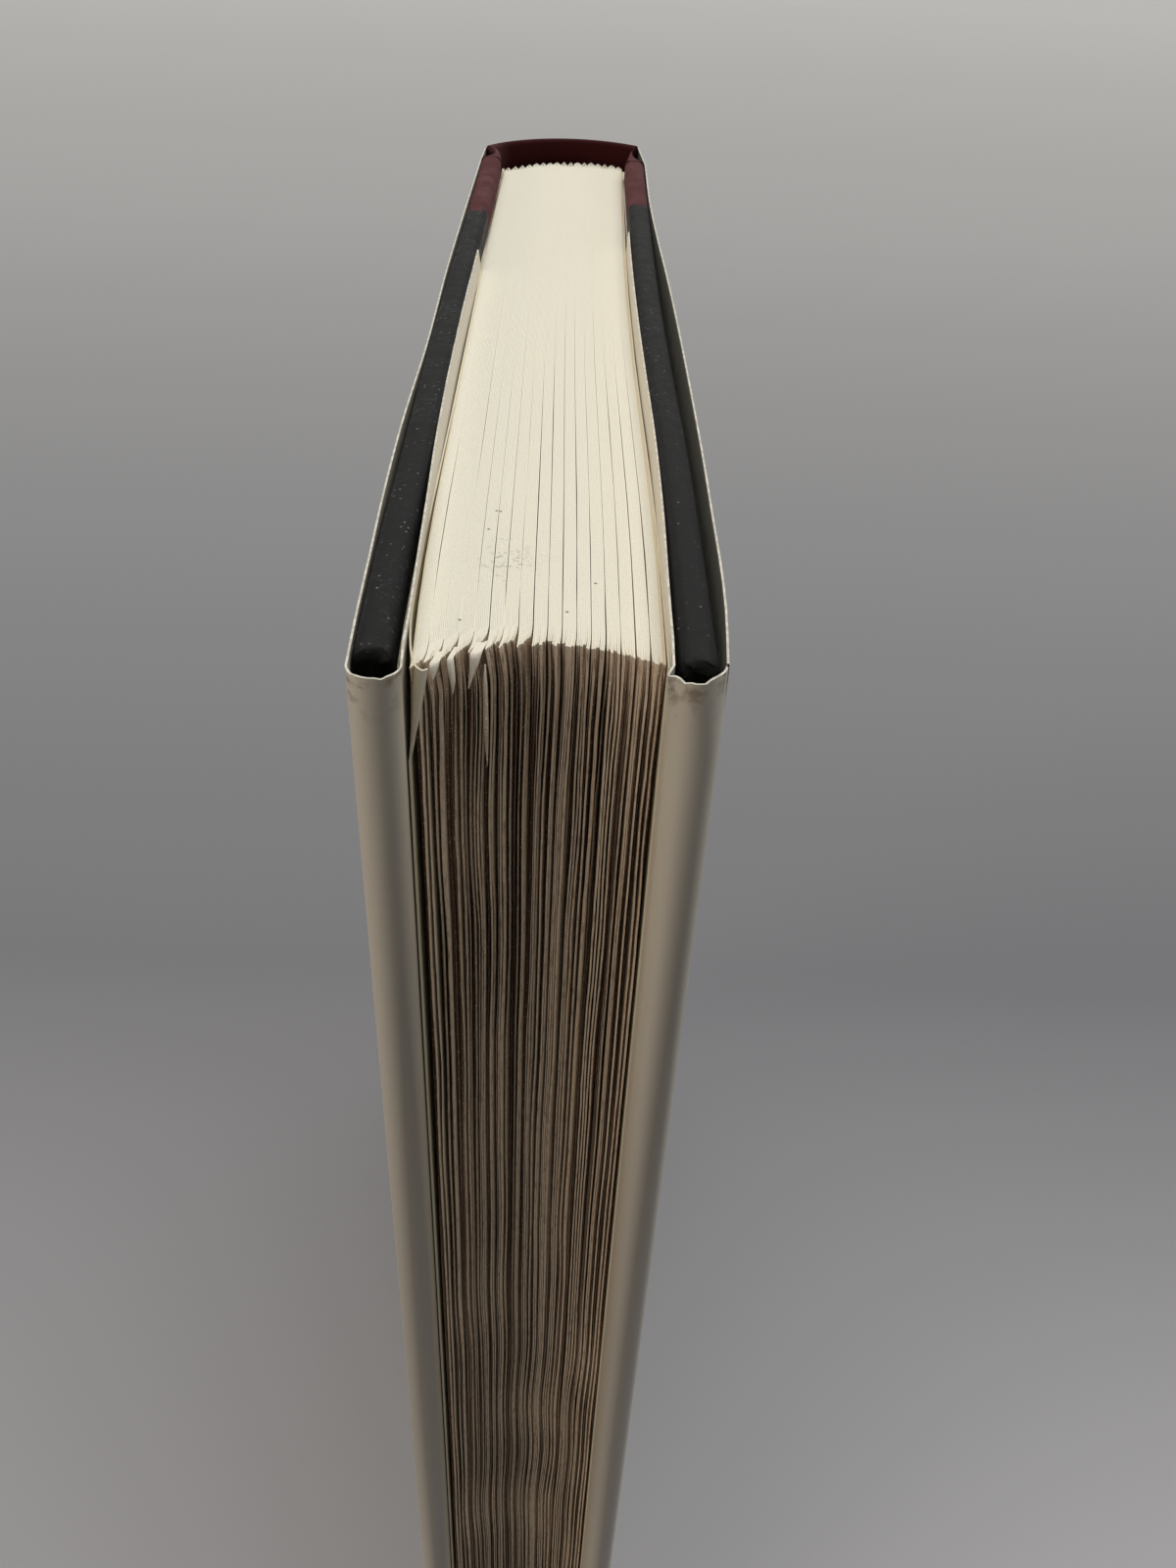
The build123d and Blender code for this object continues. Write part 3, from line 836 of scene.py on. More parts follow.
# %% Turned corners
CORNERS = {
    "wide": ((213.0, -5.1, -4.25), (212.3, -5.12, -4.45), (211.4, -5.16, -4.85), (210.5, -5.22, -5.14)),
    "small": ((213.0, -6.7, -6.25), (212.2, -6.65, -6.15), (211.3, -6.47, -6.12), (210.4, -6.33, -6.26)),
    "long": (
        (211.9, -4.1, -4.0), (210.5, -4.15, -3.85), (207.7, -4.15, -3.75),
        (205.5, -4.0, -3.75), (203.6, -3.85, -3.8),
    ),
    "curl": ((213.0, -7.9, -7.2), (212.6, -7.9, -7.3), (211.9, -7.7, -7.6)),
}
FLAKE_THICKNESS = 0.1 * MM
FLAKE_STAND = 0.25 * MM
FLAKE_LEAN = 0.45
FLAKE_ROOT = 1.6 * MM
for name, outline in CORNERS.items():
    levels, lefts, rights = np.array(outline[::-1]).T * MM
    z = np.linspace(levels[-1], levels[0], 12)[:, None]
    across = np.linspace(0, 1, 7)[None, :]
    left, right = np.interp(z, levels, lefts), np.interp(z, levels, rights)
    x = left + across * (right - left)
    fallen = FLAKE_LEAN * (levels[-1] - z) ** 0.6 * MM**0.4
    y = fore_edge(x) - FLAKE_STAND * (0.4 + np.sin(math.pi * across) * (right - left) / MM) - fallen
    if levels[-1] > head - 0.5 * MM:
        back = FLAKE_ROOT * np.linspace(1, 0.1, 5)[:, None]
        x = np.vstack([x[:1] + 0.25 * back, x])
        y = np.vstack([y[:1] + back, y])
        z = np.vstack([head + FLAKE_THICKNESS / 2 + 0 * back, z])
    # Painted shade: each flake is painted darker and browner further below the head.
    shaded = np.clip((head - z) / (3 * MM), 0, 1) + 0 * x
    under = raised(x, y + FLAKE_THICKNESS, z - FLAKE_THICKNESS / 2)
    flake = sheet(raised(x, y, z), under, deckle=0.2 + 0.7 * shaded, age=0.5 * shaded)
    piece(f"turned_corner_{name}", "text_block", [flake], leaf_paper, "book_block")
print(f"{len(CORNERS)} turned corners")

# %% [markdown]
# An endpaper is one folded sheet. Its free half, the flyleaf, lies on the pages. The front one stands
# a little off them, and its corner at the head hooks round the corner of the leaves. A bend modifier
# would curl the whole edge, so the hook is drawn in plan, and it fades out on the way down.

# %% Flyleaves
end_thickness = 0.15 * MM
FLY_ROWS = 70
FLY_COLUMNS = np.array([-120, -110, -95, -80, -60, -40, -20, -8, -1.3]) * MM
FLY_GAP = {
    "front": ((-140, 0.3), (-124, 0.33), (-114, 0.15), (-100, 0.04), (-30, 0.03), (-12, 0.08), (0, 0.04)),
    "back": ((-140, 0.1), (-125, 0.02), (-30, 0.02), (-12, 0.08), (0, 0.04)),
}
HOOK_START = -128.0 * MM
HOOK = (
    (0, 0.9, 0), (3, 0.86, 3), (6, 0.72, 6), (8.2, 0.5, 8.2), (10.2, 0.2, 10.1),
    (11.4, -0.1, 11.3), (12.1, -0.45, 11.9), (12.6, -0.8, 12.15), (13.2, -1.1, 11.9),
)
HOOK_LENGTH = 8.0 * MM
EDGE_PROUD = 0.1 * MM
FLUTTER = 0.02 * MM
FLUTTER_STEP = 30 * MM
hook_along = np.concatenate([np.linspace(13.2, 9, 14), np.linspace(8, 0, 6)]) * MM


def flyleaf(name, side):
    """The free half of an endpaper, from its fore edge to its fold.

    Below the hook the first columns lie on each other, at the leaf's edge."""
    z = bunched(head, tail, FLY_ROWS)[:, None]
    v = np.append(HOOK_START - hook_along, FLY_COLUMNS)[None, :]
    v = np.maximum(v, -leaf_width) + 0 * z
    pages = through(PAGES_SIDE[name], v)
    pages = np.maximum(pages, pages * (1 - eased(falling(-v, FAN_REACH))))
    u = pages + through(FLY_GAP[name], v) + FLUTTER * (1 + wander(50 + side, z, FLUTTER_STEP))
    if name == "front":
        curled = falling(head - z, HOOK_LENGTH) ** 0.8
        count = len(hook_along)
        hooked_u = through(HOOK, hook_along)[None, :]
        hooked_v = HOOK_START - through(HOOK, hook_along, column=2)[None, :]
        u[:, :count] += curled * (hooked_u - end_thickness / 2 - u[:, :count])
        v[:, :count] += curled * (hooked_v - v[:, :count])
        v[:, 0] -= EDGE_PROUD * (1 - curled[:, 0])
    x, y = beside(side, u + end_thickness / 2, v)
    leaf = sheet(*thickened(x, y, end_thickness, z))
    piece(f"{name}_flyleaf", f"{name}_endpaper", [leaf], end_paper, "book_block")


print(f"flyleaves {end_thickness / MM:.2f} mm thick, the front one hooked over {HOOK_LENGTH / MM:.0f} mm")

# %% [markdown]
# The other half of an endpaper is pasted to the board. Where it crosses the joint it must bend as the cover
# opens, so the strip between fold and board is a sheet of its own. `bend` only bakes its placement into its
# points; the strip is carried by no body.

# %% Endpapers across the joints
end_fold = 1.3 * MM
paste_air = 0.04 * MM
HINGE_OVERLAP = 0.6 * MM


def bend(made):
    """Bake a piece's placement into its points; it is not blended between bodies."""
    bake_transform(made)


def endpaper_hinge(name, side):
    """The strip of endpaper that crosses the joint to the board."""
    share = np.linspace(0, 1, 12)[None, :]
    v = -end_fold + share * (joint_edge - HINGE_OVERLAP + end_fold)
    start_u = end_thickness + paste_air
    end_u = pastedown_in - paste_air + through(COVER_WARP[name], joint_edge)
    u = start_u + share**2 * (end_u - start_u)
    z = np.linspace(head, tail, 12)[:, None]
    strip = sheet(raised(*beside(side, u + end_thickness, v), z), raised(*beside(side, u, v), z))
    made = piece(f"{name}_endpaper_hinge", f"{name}_endpaper", [strip], end_paper)
    bend(made)


for name, side in SIDES.items():
    flyleaf(name, side)
    endpaper_hinge(name, side)
print(f"strips of endpaper cross {-(joint_edge + end_fold) / MM:.1f} mm of joint")

# %% [markdown]
# Between spine and board the cover dips into a joint, where it turns. Cloth and mull run round the
# spine on arcs and then through the joint on a circle through three points: the spine's edge, the
# joint's floor and the board. A free curve would need more numbers and fit no better.

# %% Lines through the joints
groove_floor = 1.15 * MM
groove_floor_back = 2.8 * MM


def arc_through(a, b, c, count):
    """Points of the circle through three plan points, worked out with complex numbers."""
    a, b, c = (complex(*point) for point in (a, b, c))
    w = (c - a) / (b - a)
    centre = a + (b - a) * (w - abs(w) ** 2) / (2j * w.imag)
    to_b, turn = (np.angle((point - centre) / (a - centre)) % math.tau for point in (b, c))
    if to_b > turn:
        turn -= math.tau
    arc = centre + (a - centre) * np.exp(1j * turn * np.linspace(0, 1, count))
    return arc.real, arc.imag


def spine_line(side, radius, angle, u_floor, u_board, count=14):
    """Plan line from the crown of the spine to its edge, then through the joint to the board."""
    x, y = around(radius, side * np.linspace(0, angle, count))
    floor, board = beside(side, u_floor, -groove_floor_back), beside(side, u_board, joint_edge)
    joint_x, joint_y = arc_through((x[-1], y[-1]), floor, board, count)
    return np.append(x, joint_x[1:]), np.append(y, joint_y[1:])


print(f"the joint's floor lies {groove_floor_back / MM:.1f} mm from the shoulder")

# %% [markdown]
# A covering is glued to its board, goes over the edge and is turned in. `wrapped` builds that shape
# for boards and spine alike: it needs only a middle line, how far to each side the surface lies and
# how round the edge is. Its two faces are the same shape at two depths.

# %% A covering over an edge


def wrapped(shape, turn_in):
    """A covering that goes over an edge: down its outside and turned in at both ends.

    `shape` gives, at a depth below the surface: middle line, way across, half-width, rounding and
    how far the top drops, for every station along the plan."""
    turns = np.linspace(0, math.pi / 2, 7)
    steps_down = np.linspace(0, 1, 14)[1:-1] ** BUNCHING_AT_HEAD
    grids = []
    for depth in (0, covering):
        middle, way, wide, r, drop = shape(depth)
        top, bottom = case_high - depth - drop, depth + drop
        edge = [(wide - r + r * np.cos(t), r - r * np.sin(t)) for t in turns]
        rows = [(-wide, top - turn_in), (-wide, top - turn_in / 2)]
        rows += [(-across, top - down) for across, down in edge]
        rows += [(across, top - down) for across, down in edge[::-1]]
        rows += [(wide, top - r + (bottom - top + 2 * r) * s) for s in steps_down]
        rows += [(across, bottom + down) for across, down in edge]
        rows += [(-across, bottom + down) for across, down in edge[::-1]]
        rows += [(-wide, bottom + turn_in / 2), (-wide, bottom + turn_in)]
        plans = [middle + way * across[:, None] for across, z in rows]
        levels = [np.broadcast_to(z, wide.shape) for across, z in rows]
        grids.append(np.dstack([np.array(plans), np.array(levels)]))
    return sheet(*grids)


# %% [markdown]
# The case's cloth is one piece that wraps the spine strip, runs down into both joints and on to the boards.
# Over the spine it has two layers at head and tail, where it is turned in. As the covers open it must fold in
# the joints. The spine cloth is modelled in two halves that meet at the crown.

# %% Spine cloth
TURN_IN = 15.0 * MM
EDGE_ROUNDING = 1.0 * MM
SOFT_EDGE = 0.6 * MM
LEAST_ROUNDING = 0.01 * MM


def between(line_out, line_in, rounding_radius):
    """Shape of a covering whose outside and inside run along two plan lines."""
    outside, inside = np.column_stack(line_out), np.column_stack(line_in)
    middle = (outside + inside) / 2
    gap = np.linalg.norm(outside - inside, axis=1)
    way = (outside - inside) / gap[:, None]

    def shape(depth):
        wide = gap / 2 - depth
        r = np.minimum(max(rounding_radius - depth, 2 * LEAST_ROUNDING), wide * 0.98)
        return middle, way, wide, r, 0 * wide

    return shape


for name, side in SIDES.items():
    warp = through(COVER_WARP[name], joint_edge)
    outside = spine_line(side, cloth_radius, ear_angle, groove_floor + covering, cover_out + warp)
    inside = spine_line(side, strip_inner - covering, ear_angle, groove_floor - covering, cover_in + warp)
    cloth = wrapped(between(outside, inside, SOFT_EDGE), TURN_IN)
    made = piece(f"spine_cloth_{name}_half", "spine_cloth", [cloth], book_cloth)
    bend(made)
print(f"cloth on a {cloth_radius / MM:.1f} mm arc, turned in by {TURN_IN / MM:.0f} mm")

# %% [markdown]
# Each cover is a stack: grey board, cloth and paper wrapped over its edges, and the endpaper pasted
# inside. All of it follows the warp. The board's edges were rubbed round by use, so a covered edge is
# nearly a half circle.

# %% Shapes of a cover
STATIONS = 40
EDGE_BUMPS = 0.035 * MM
BUMP_STEP = 1.7 * MM


def slab(name, side, u0, u1, v0, v1, radius):
    """Shape of a covered board from v0 to v1, rounded at its fore edge where a radius is given."""
    turn = np.linspace(0, math.pi / 2, 8)[1:]

    def shape(depth):
        r = max(radius - depth, 0)
        end = v1 + depth if radius else v1
        v = v0 + (end + r - v0) * np.linspace(0, 1, STATIONS)
        shrink = np.zeros(STATIONS)
        if radius:
            v = np.concatenate([v, end + r - r * np.sin(turn), [end, end]])
            shrink = np.concatenate([shrink, r * (1 - np.cos(turn)), [r, r]])
        u = (u0 + u1) / 2 + through(COVER_WARP[name], v)
        wide = (u1 - u0) / 2 - depth - shrink
        if radius:
            wide[-2:] = wide[-3] / 2, LEAST_ROUNDING
        edge = EDGE_ROUNDING - depth
        edge = np.maximum(np.minimum(edge - np.minimum(shrink, edge), wide * 0.98), LEAST_ROUNDING)
        drop = shrink + EDGE_BUMPS + EDGE_BUMPS * wander(80 + side, v, BUMP_STEP)
        way = np.column_stack([np.full_like(v, side), np.zeros_like(v)])
        return np.column_stack(beside(side, u, v)), way, wide, edge, drop

    return shape


def bowed_sheet(side, name, u0, u1, v0, v1, low, high, soft=0.0):
    """A flat layer of a cover, bowed with the warp; its rim is rounded where `soft` is given."""
    share = np.linspace(0, 1, STATIONS)
    shrink = 0
    if soft:
        share = (1 - np.cos(math.pi * share)) / 2
    v = (v0 + (v1 - v0) * share)[None, :]
    z = (high + (low - high) * share)[:, None]
    if soft:
        from_edge = np.minimum(np.minimum(z - low, high - z), np.abs(v - v1))
        shrink = soft - np.sqrt(np.clip(soft**2 - np.clip(soft - from_edge, 0, soft) ** 2, 0, None))
    warp = through(COVER_WARP[name], v)
    outside = raised(*beside(side, u1 - shrink + warp, v), z)
    return sheet(outside, raised(*beside(side, u0 + shrink + warp, v), z))


# %% [markdown]
# A book that falls lands on its corners. Here the fore corners at the head are crushed, the front one
# deeper, and creased, the back one more. Pushing the finished points in does that in a few lines, and
# the mesh stays whole.

# %% Crushed corners
CRUSHED_ALONG = 3 * MM
CRUSHED_DOWN = 7 * MM
CREASE_SLANT = 1.7
CREASE_STEP = 0.35


def crushed(part, side, name, fore, depth, pleats):
    """A covering whose corner at the head is pressed in at its middle and creased."""
    points = part["points"]
    plan_v = points[:, 1] - shoulder_y - side * side_shift
    u = side * points[:, 0] - half - through(COVER_WARP[name], plan_v)
    across = (u - (cover_in + cover_out) / 2) / (cover_out - cover_in) * 2
    near = falling(plan_v - fore, CRUSHED_ALONG) * falling(case_high - points[:, 2], CRUSHED_DOWN)
    hollow = depth * np.clip(1 - across**2, 0, 1) * near
    creases = pleats * near**0.5 * wander(90 + side, across + CREASE_SLANT * points[:, 2] / MM, CREASE_STEP)
    points[:, 1] += hollow + creases
    points[:, 2] += 0.4 * creases - 0.3 * hollow
    points[:, 2] = np.minimum(points[:, 2], case_high)
    return part


print(f"corners are crushed over {CRUSHED_ALONG / MM:.0f} mm along and {CRUSHED_DOWN / MM:.0f} mm down")

# %% [markdown]
# Now each cover is put together from those shapes. Paper overlaps the cloth by a millimetre, as it is
# pasted down last. It is turned in like the cloth, so a strip of it also lies inside the fore edge,
# under the pastedown.

# %% Covers
CLOTH_SHIFT = {"front": -1.8 * MM, "back": 2.6 * MM}
FORE_REACH = {"front": case_fore, "back": case_fore - 1.3 * MM}
CRUSH = {"front": (1.3 * MM, 0.12 * MM), "back": (0.8 * MM, 0.3 * MM)}
PAPER_OVERLAP = 0.6 * MM
PAPER_LIFT = 0.03 * MM
BOARD_SOFTNESS = 0.9 * MM


def cover_piece(name, node, parts, finish):
    """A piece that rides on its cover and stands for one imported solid."""
    piece(f"{name}_{node}_bowed", f"{name}_{node}", parts, finish, f"{name}_cover")


paste_low, paste_high = (corner.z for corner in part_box("front_pastedown"))
wing_low, wing_high = (corner.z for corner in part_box("front_mull_wing"))
for name, side in SIDES.items():
    fore, cloth_edge = FORE_REACH[name], reach("front_cover_cloth", 0) + CLOTH_SHIFT[name]
    cloth = slab(name, side, cover_in, cover_out, joint_edge, cloth_edge - PAPER_OVERLAP, 0)
    cover_piece(name, "cover_cloth", [wrapped(cloth, TURN_IN)], book_cloth)
    inner, outer, paper_edge = cover_in - PAPER_LIFT, cover_out + PAPER_LIFT, cloth_edge + PAPER_OVERLAP
    paper = wrapped(slab(name, side, inner, outer, paper_edge, fore, EDGE_ROUNDING), TURN_IN)
    paper = crushed(paper, side, name, fore, *CRUSH[name])
    low, high, rounded = TURN_IN, case_high - TURN_IN, fore + EDGE_ROUNDING / 2
    strip = bowed_sheet(side, name, cover_in, board_in, fore + TURN_IN, rounded, low, high)
    cover_piece(name, "cover_paper", [paper, strip], black_paper)
    low, high, edge = covering, case_high - covering, fore + covering
    board = bowed_sheet(side, name, board_in, board_out, joint_edge, edge, low, high, BOARD_SOFTNESS)
    hollow, pleats = CRUSH[name]
    board = crushed(board, side, name, fore, hollow + 2 * pleats, 0)
    cover_piece(name, "board", [board], grey_board)
    outer = pastedown_in + end_thickness
    paste = bowed_sheet(side, name, pastedown_in, outer, joint_edge, -leaf_width, paste_low, paste_high)
    cover_piece(name, "pastedown", [paste], end_paper)
    inner, edge = board_in - mull_thickness, reach("front_mull_wing", 0)
    wing = bowed_sheet(side, name, inner, board_in, joint_edge, edge, wing_low, wing_high)
    cover_piece(name, "mull_wing", [wing], mull_net)
print(f"boards {(board_out - board_in) / MM:.1f} mm thick, coverings {covering / MM:.2f} mm")

# %% [markdown]
# Mull is glued round the backs of the sections and through the joints on to the boards. It is halved at the
# crown like the cloth.

# %% Mull
MULL_SHORT = 20.0 * MM
mull_floor = groove_floor - covering
mull_heights = np.linspace(head - MULL_SHORT, tail + MULL_SHORT, 20)[:, None]
for name, side in SIDES.items():
    warp = through(COVER_WARP[name], joint_edge)
    faces = []
    for radius, depth in ((mull_radius, 0), (back_radius, mull_thickness)):
        x, y = spine_line(side, radius, shoulder_angle, mull_floor - depth, board_in - depth + warp)
        faces.append(raised(x[None, :], y[None, :], mull_heights))
    made = piece(f"mull_{name}_half", "spine_mull", [sheet(*faces)], mull_net)
    bend(made)
print(f"mull {mull_thickness / MM:.1f} mm thick, {(head - tail - 2 * MULL_SHORT) / MM:.0f} mm high")

# %% [markdown]
# The jacket is one sheet of paper folded round the fore edges of both boards. It springs: between its folds
# it stands off the boards, and at the folds it is round, not sharp. The right-hand fold has been creased once
# and its rim is worn. Panels ride on their covers. A cloth simulation could drape it, but would lose the
# measured stand-off that the photograph shows.

# %% The jacket's measures
JACKET_ROWS = 60
PANEL_COLUMNS = 36
FOLD_COLUMNS = 25
FLAP_COLUMNS = 30
FLAPS = {"front": 93.0 * MM, "back": 102.0 * MM}
FOLD_SLACK = 0.4 * MM
FOLD_REACH = {"front": -145.02 * MM, "back": -145.5 * MM}
FLAP_LEAN = {
    "front": ((-143, -0.15), (-140, -0.35), (-130, -0.4), (-120, -0.2), (-108, 0.15), (-95, 0.3), (-50, 0.3)),
    "back": ((-143, -0.05), (-135, -0.05), (-120, 0.12), (-40, 0.12)),
}
FLAP_AIR = 0.03 * MM
FOLD_BULGE = {"front": 0.3 * MM, "back": 0.1 * MM}
BULGE_REACH = 4 * MM
CREASED = (
    (0, 4.1, -142.6), (0.15, 3.73, -143.93), (0.3, 2.77, -144.95), (0.45, 1.99, -145.6),
    (0.65, 0.94, -145.3), (0.8, 0.3, -144.75), (0.93, -0.2, -144.5), (1, 0.25, -143.4),
)
CREASE_HEIGHT = 6.0 * MM
LEAN_HEIGHT = 3.0 * MM
NICKS = {"front": ((0.7, 0.15), (-1.6, 0.08)), "back": ((0.9, 0.2), (-0.7, 0.12))}
NICK_REACH = 0.4 * MM
FOLD_SHADE_REACH = 12.0 * MM
SHADE_BAND_PLACE_MM = 0.8
SHADE_BAND_WIDTH_MM = 1.1
WAVER = 0.05 * MM
WAVER_STEP = 50 * MM
JACKET_FINISHES = [jacket_face, jacket_back, rim_paper]

# %% [markdown]
# Each side is one strip of points: panel, fold and flap, first as u and v, then as a plan line that is
# thickened to paper. Both folds get painted shade, strongest half-way up.

# %% Panels, folds and flaps


def jacket_piece(name, node, side, x, y, z, body=None, **values):
    """A sheet of jacket paper along a plan line, with its coated face outwards."""
    face, back = thickened(x, y, jacket_paper, z)
    if side == BACK:
        face, back = back, face
    return piece(name, node, [sheet(face, back, **values)], JACKET_FINISHES, body)


def jacket_panel(name, side):
    """Panel, fold and flap of one side."""
    z = bunched(jacket_high, jacket_low, JACKET_ROWS)[:, None]
    near_head = falling(jacket_high - z, LEAN_HEIGHT)
    fold_start = case_fore - FOLD_SLACK
    share = np.linspace(0, 1, PANEL_COLUMNS)[None, :]
    v_panel = joint_edge + (fold_start - joint_edge) * share + 0 * z
    waver = WAVER * wander(70 + side, z, WAVER_STEP) * np.sin(math.pi * share)
    u_panel = through(JACKET_STAND[name], v_panel) + waver
    flap_v = fold_start + (FLAPS[name] - FOLD_SLACK) * np.linspace(0, 1, FLAP_COLUMNS)[None, :] + 0 * z
    bulge = FOLD_BULGE[name] * falling(flap_v - fold_start, BULGE_REACH) ** 2
    lean_out = through(FLAP_LEAN[name], flap_v) * near_head**1.3
    warp = through(COVER_WARP[name], flap_v)
    flap_u = pastedown_in - FLAP_AIR - jacket_paper / 2 + warp + lean_out - bulge
    u_start, u_end = u_panel[:, -1:], flap_u[:, :1]
    share = np.linspace(0, 1, FOLD_COLUMNS + 2)[None, 1:-1]
    u_fold = (u_start + u_end) / 2 + (u_start - u_end) / 2 * np.cos(math.pi * share)
    v_fold = fold_start + (FOLD_REACH[name] - fold_start) * np.sin(math.pi * share) + 0 * z
    if name == "back":
        creased = falling(jacket_high - z, CREASE_HEIGHT)
        u_fold = u_fold + creased * (through(CREASED, share * MM) - u_fold)
        v_fold = v_fold + creased * (through(CREASED, share * MM, column=2) - v_fold)
    u = np.concatenate([u_panel, u_fold, flap_u], 1)
    v = np.concatenate([v_panel, v_fold, flap_v], 1)
    x, y = beside(side, u, v)
    z = z + 0 * u
    along = np.cumsum(np.hypot(np.diff(u[0], prepend=u[0, 0]), np.diff(v[0], prepend=v[0, 0])))
    along = along - along[PANEL_COLUMNS + FOLD_COLUMNS // 2]
    for nick, depth in NICKS[name]:
        z[0] -= depth * MM * falling(np.abs(along - nick * MM), NICK_REACH)
    # Painted shade on each fold: strongest half-way up, plus a narrow band just off the fold's middle.
    half_way_up = np.sin(math.pi * (jacket_high - z) / (jacket_high - jacket_low))
    halfway_shade = np.clip(half_way_up * np.exp(-(along / FOLD_SHADE_REACH) ** 4), 0, 1)
    rub_and_fold_shade = np.exp(-((along / MM + SHADE_BAND_PLACE_MM * side) / SHADE_BAND_WIDTH_MM) ** 2)
    handled = 0.75 * rub_and_fold_shade + 0.6 * halfway_shade
    jacket_piece(f"jacket_{name}_panel", f"jacket_{name}", side, x, y, z, f"{name}_cover", handled=handled)


print(f"jacket {jacket_paper / MM:.2f} mm thick, flaps {[round(flap / MM) for flap in FLAPS.values()]} mm")

# %% [markdown]
# Over the spine the jacket hugs the cloth, and then it springs straight across each joint. It is cut at the
# crown like the cloth.

# %% Jacket over the spine


def jacket_spine_half(name, side):
    """Half of the jacket's spine and its stretch across one joint."""
    z = np.linspace(jacket_high, jacket_low, 24)[:, None]
    radius = cloth_radius + jacket_gap + jacket_paper / 2
    over_x, over_y = around(radius, side * np.linspace(0, ear_angle, 16))
    end_x, end_y = beside(side, through(JACKET_STAND[name], joint_edge), joint_edge)
    share = np.linspace(0, 1, 10)[1:]
    x = np.append(over_x, over_x[-1] + share * (end_x - over_x[-1]))[None, :] + 0 * z
    y = np.append(over_y, over_y[-1] + share * (end_y - over_y[-1]))[None, :] + 0 * z
    bend(jacket_piece(f"jacket_spine_{name}_half", "jacket_spine", side, x, y, z))


for name, side in SIDES.items():
    jacket_panel(name, side)
    jacket_spine_half(name, side)
print(f"jacket round the spine on a {(cloth_radius + jacket_gap) / MM:.1f} mm arc")

# %% [markdown]
# A strip of card stiffens the spine, and a liner of kraft paper is glued over the mull. Both are
# plain curved sheets that follow the twisted spine, so one loop makes them from two arcs each.

# %% Strip and liner
CURVED = {
    "spine_strip": (strip_inner, strip_outer, ear_angle, grey_board, "spine_card"),
    "spine_liner": (mull_radius, mull_radius + liner_thickness, shoulder_angle, kraft, "kraft_paper"),
}
for node, (inner, outer, angle, finish, slot) in CURVED.items():
    low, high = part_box(node)
    angles = np.linspace(-angle, angle, 25)[None, :]
    z = np.linspace(high.z, low.z, 12)[:, None]
    faces = [raised(*around(radius, angles), z) for radius in (outer, inner)]
    piece(f"{node}_curved", node, [sheet(*faces)], finish, "book_block")
print(f"strip {strip_thickness / MM:.1f} mm thick, liner {liner_thickness / MM:.1f} mm")

# %% [markdown]
# A pale floor. For the eye its colour carries painted shading: a painted shadow in a band just behind the
# book, and paler towards the camera and far off. The floor is darker for light that bounces than for the eye,
# so that the fore edge stays in half shade. A lamp's colour can't do that, but a Light Path node can: it
# tells which rays look at the floor.

# %% Floor
FLOOR_HALF = 4.0
FLOOR_SHADE_STOPS = ((0.0, "#A8A8AD"), (0.1, "#717277"), (0.2, "#808185"), (0.45, "#9C9D9F"), (1.0, "#B2B3B4"))
FLOOR_SHADE_START, FLOOR_SHADE_END = -0.1, 1.9


def looked_at(tree):
    """1 for rays that carry what the eye sees, straight or through gloss and glass, else 0."""
    path = add(tree, "LightPath").outputs
    mirrored = add(tree, "Math", {0: path["Is Camera Ray"], 1: path["Is Glossy Ray"]}, operation="ADD")
    rays = {0: mirrored.outputs[0], 1: path["Is Transmission Ray"]}
    return add(tree, "Math", rays, operation="ADD", use_clamp=True).outputs[0]


corners = [(x * FLOOR_HALF, y * FLOOR_HALF, 0.0) for x, y in ((-1, -1), (1, -1), (1, 1), (-1, 1))]
floor_mesh = bpy.data.meshes.new("floor")
floor_mesh.from_pydata(corners, [], [(0, 1, 2, 3)])
floor = bpy.data.objects.new("floor", floor_mesh)
bpy.context.scene.collection.objects.link(floor)
floor_finish, tree, shader, place = finish_of("matt_card", 0.9)
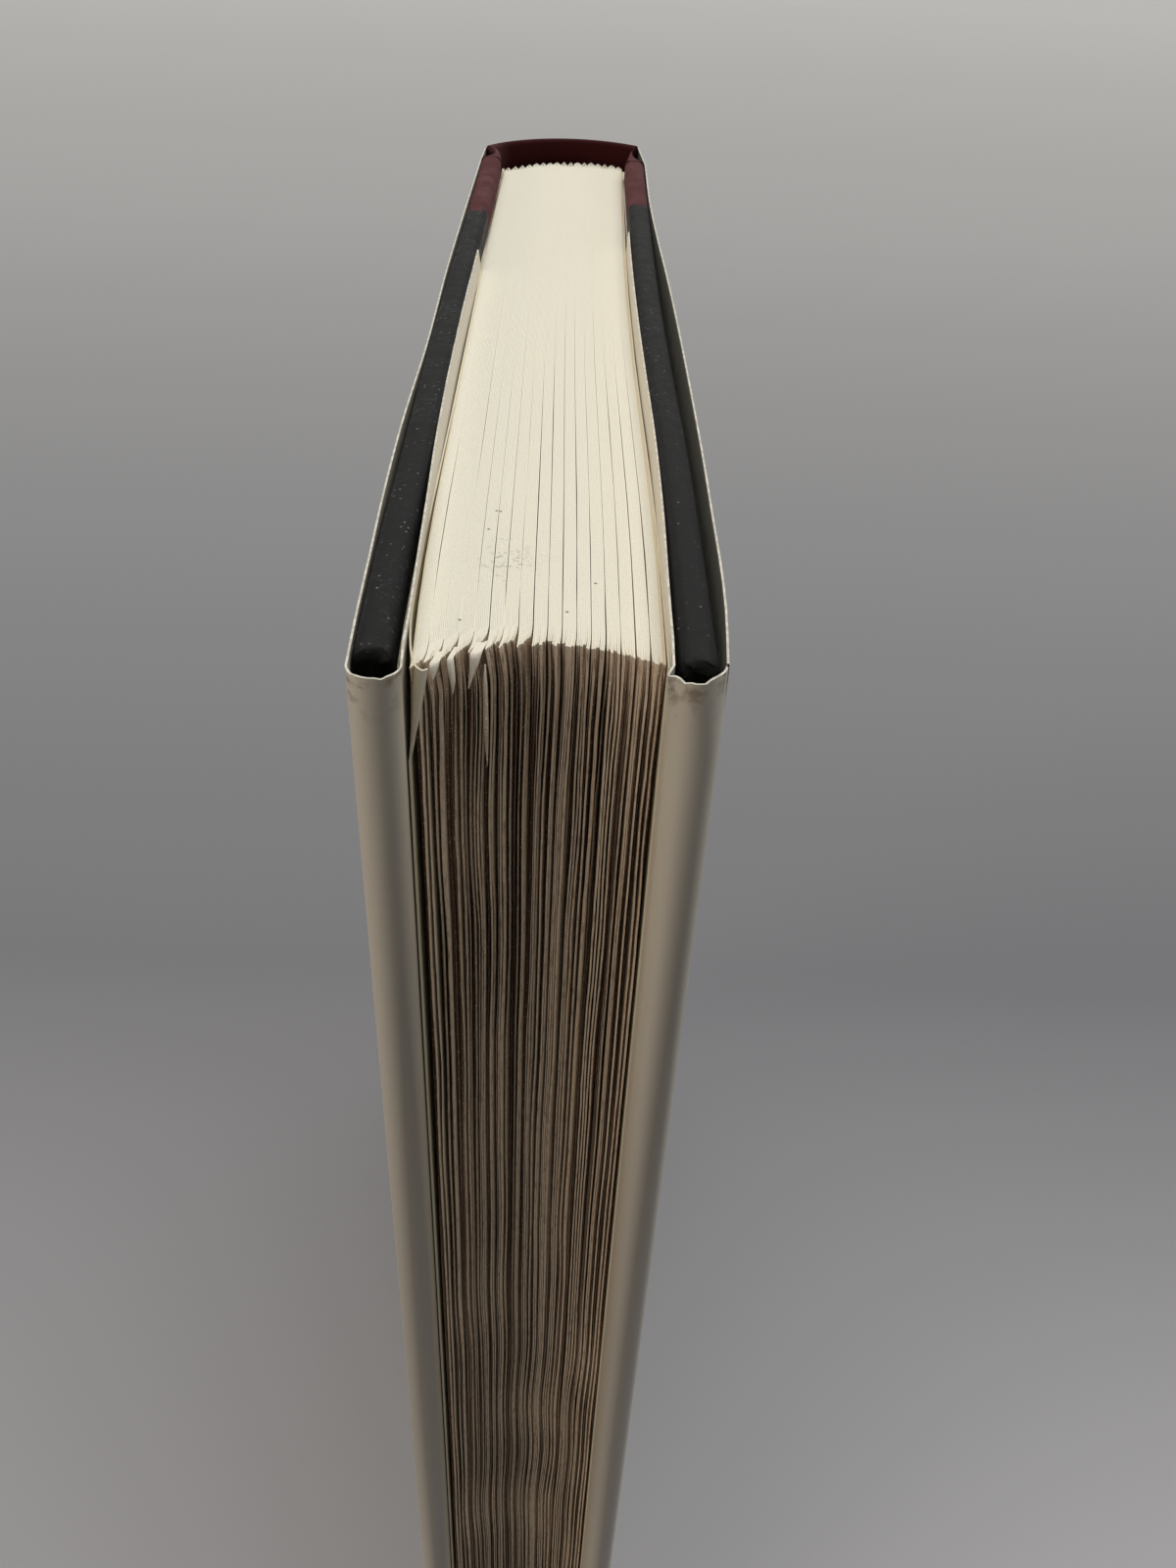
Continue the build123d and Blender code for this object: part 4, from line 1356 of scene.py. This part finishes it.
# Painted shadow: the ramp is darkest in a band just behind the book, and paler near the camera and far off.
floor_shade_ramp = add(tree, "ValToRGB", {"Fac": fade(tree, place, "Y", FLOOR_SHADE_START, FLOOR_SHADE_END)})
while len(floor_shade_ramp.color_ramp.elements) < len(FLOOR_SHADE_STOPS):
    floor_shade_ramp.color_ramp.elements.new(0.5)
for element, (position, code) in zip(floor_shade_ramp.color_ramp.elements, FLOOR_SHADE_STOPS):
    element.position, element.color = position, paint(code)
surface(tree, shader, layered(tree, "#6F6F6E", (looked_at(tree), floor_shade_ramp.outputs["Color"])))
floor_mesh.materials.append(floor_finish)
print(f"floor {2 * FLOOR_HALF:.0f} m wide")

# %% [markdown]
# Soft light comes mostly from above, so the trimmed head is the brightest surface and the fore edge,
# which faces us, stays in half shade. Wide, distant suns are used, not area lamps, because a lamp
# near the book leaves a bright pool on the floor. A weaker pair from left and right shapes the folds.

# %% Light


def soft_sun(name, toward, level, width_deg, colour):
    """Distant soft light from a direction that gives a surface facing it a share of full light."""
    light = bpy.data.lights.new(name, "SUN")
    light.energy = level * math.pi
    light.angle = math.radians(width_deg)
    light.color = paint(colour)[:3]
    made = bpy.data.objects.new(name, light)
    made.rotation_euler = Vector(toward).to_track_quat("Z", "Y").to_euler()
    bpy.context.scene.collection.objects.link(made)


soft_sun("ceiling", (0.12, 0.3, 1.0), 0.86, 70, "#FFFCF6")
soft_sun("left", (-1.5, -0.75, 0.47), 0.3, 32, "#FFEFDC")
soft_sun("right", (1.6, -0.18, 0.75), 0.1, 30, "#F2F8FF")

ROOM_LEVEL = 0.08
world = bpy.data.worlds.new("studio")
world.use_nodes = True
bpy.context.scene.world = world
tree = world.node_tree
room = tree.nodes["Background"]
room.inputs["Color"].default_value = paint("#F2F2F0")
room.inputs["Strength"].default_value = ROOM_LEVEL
seen = add(tree, "Background", {"Color": "#B4B4B2", "Strength": 1.0})
both = add(tree, "MixShader", {0: looked_at(tree), 1: room.outputs[0], 2: seen.outputs[0]})
tree.links.new(both.outputs[0], tree.nodes["World Output"].inputs["Surface"])
bpy.context.scene.view_settings.view_transform = "Standard"
print("lights", sorted(light.name for light in bpy.data.lights))
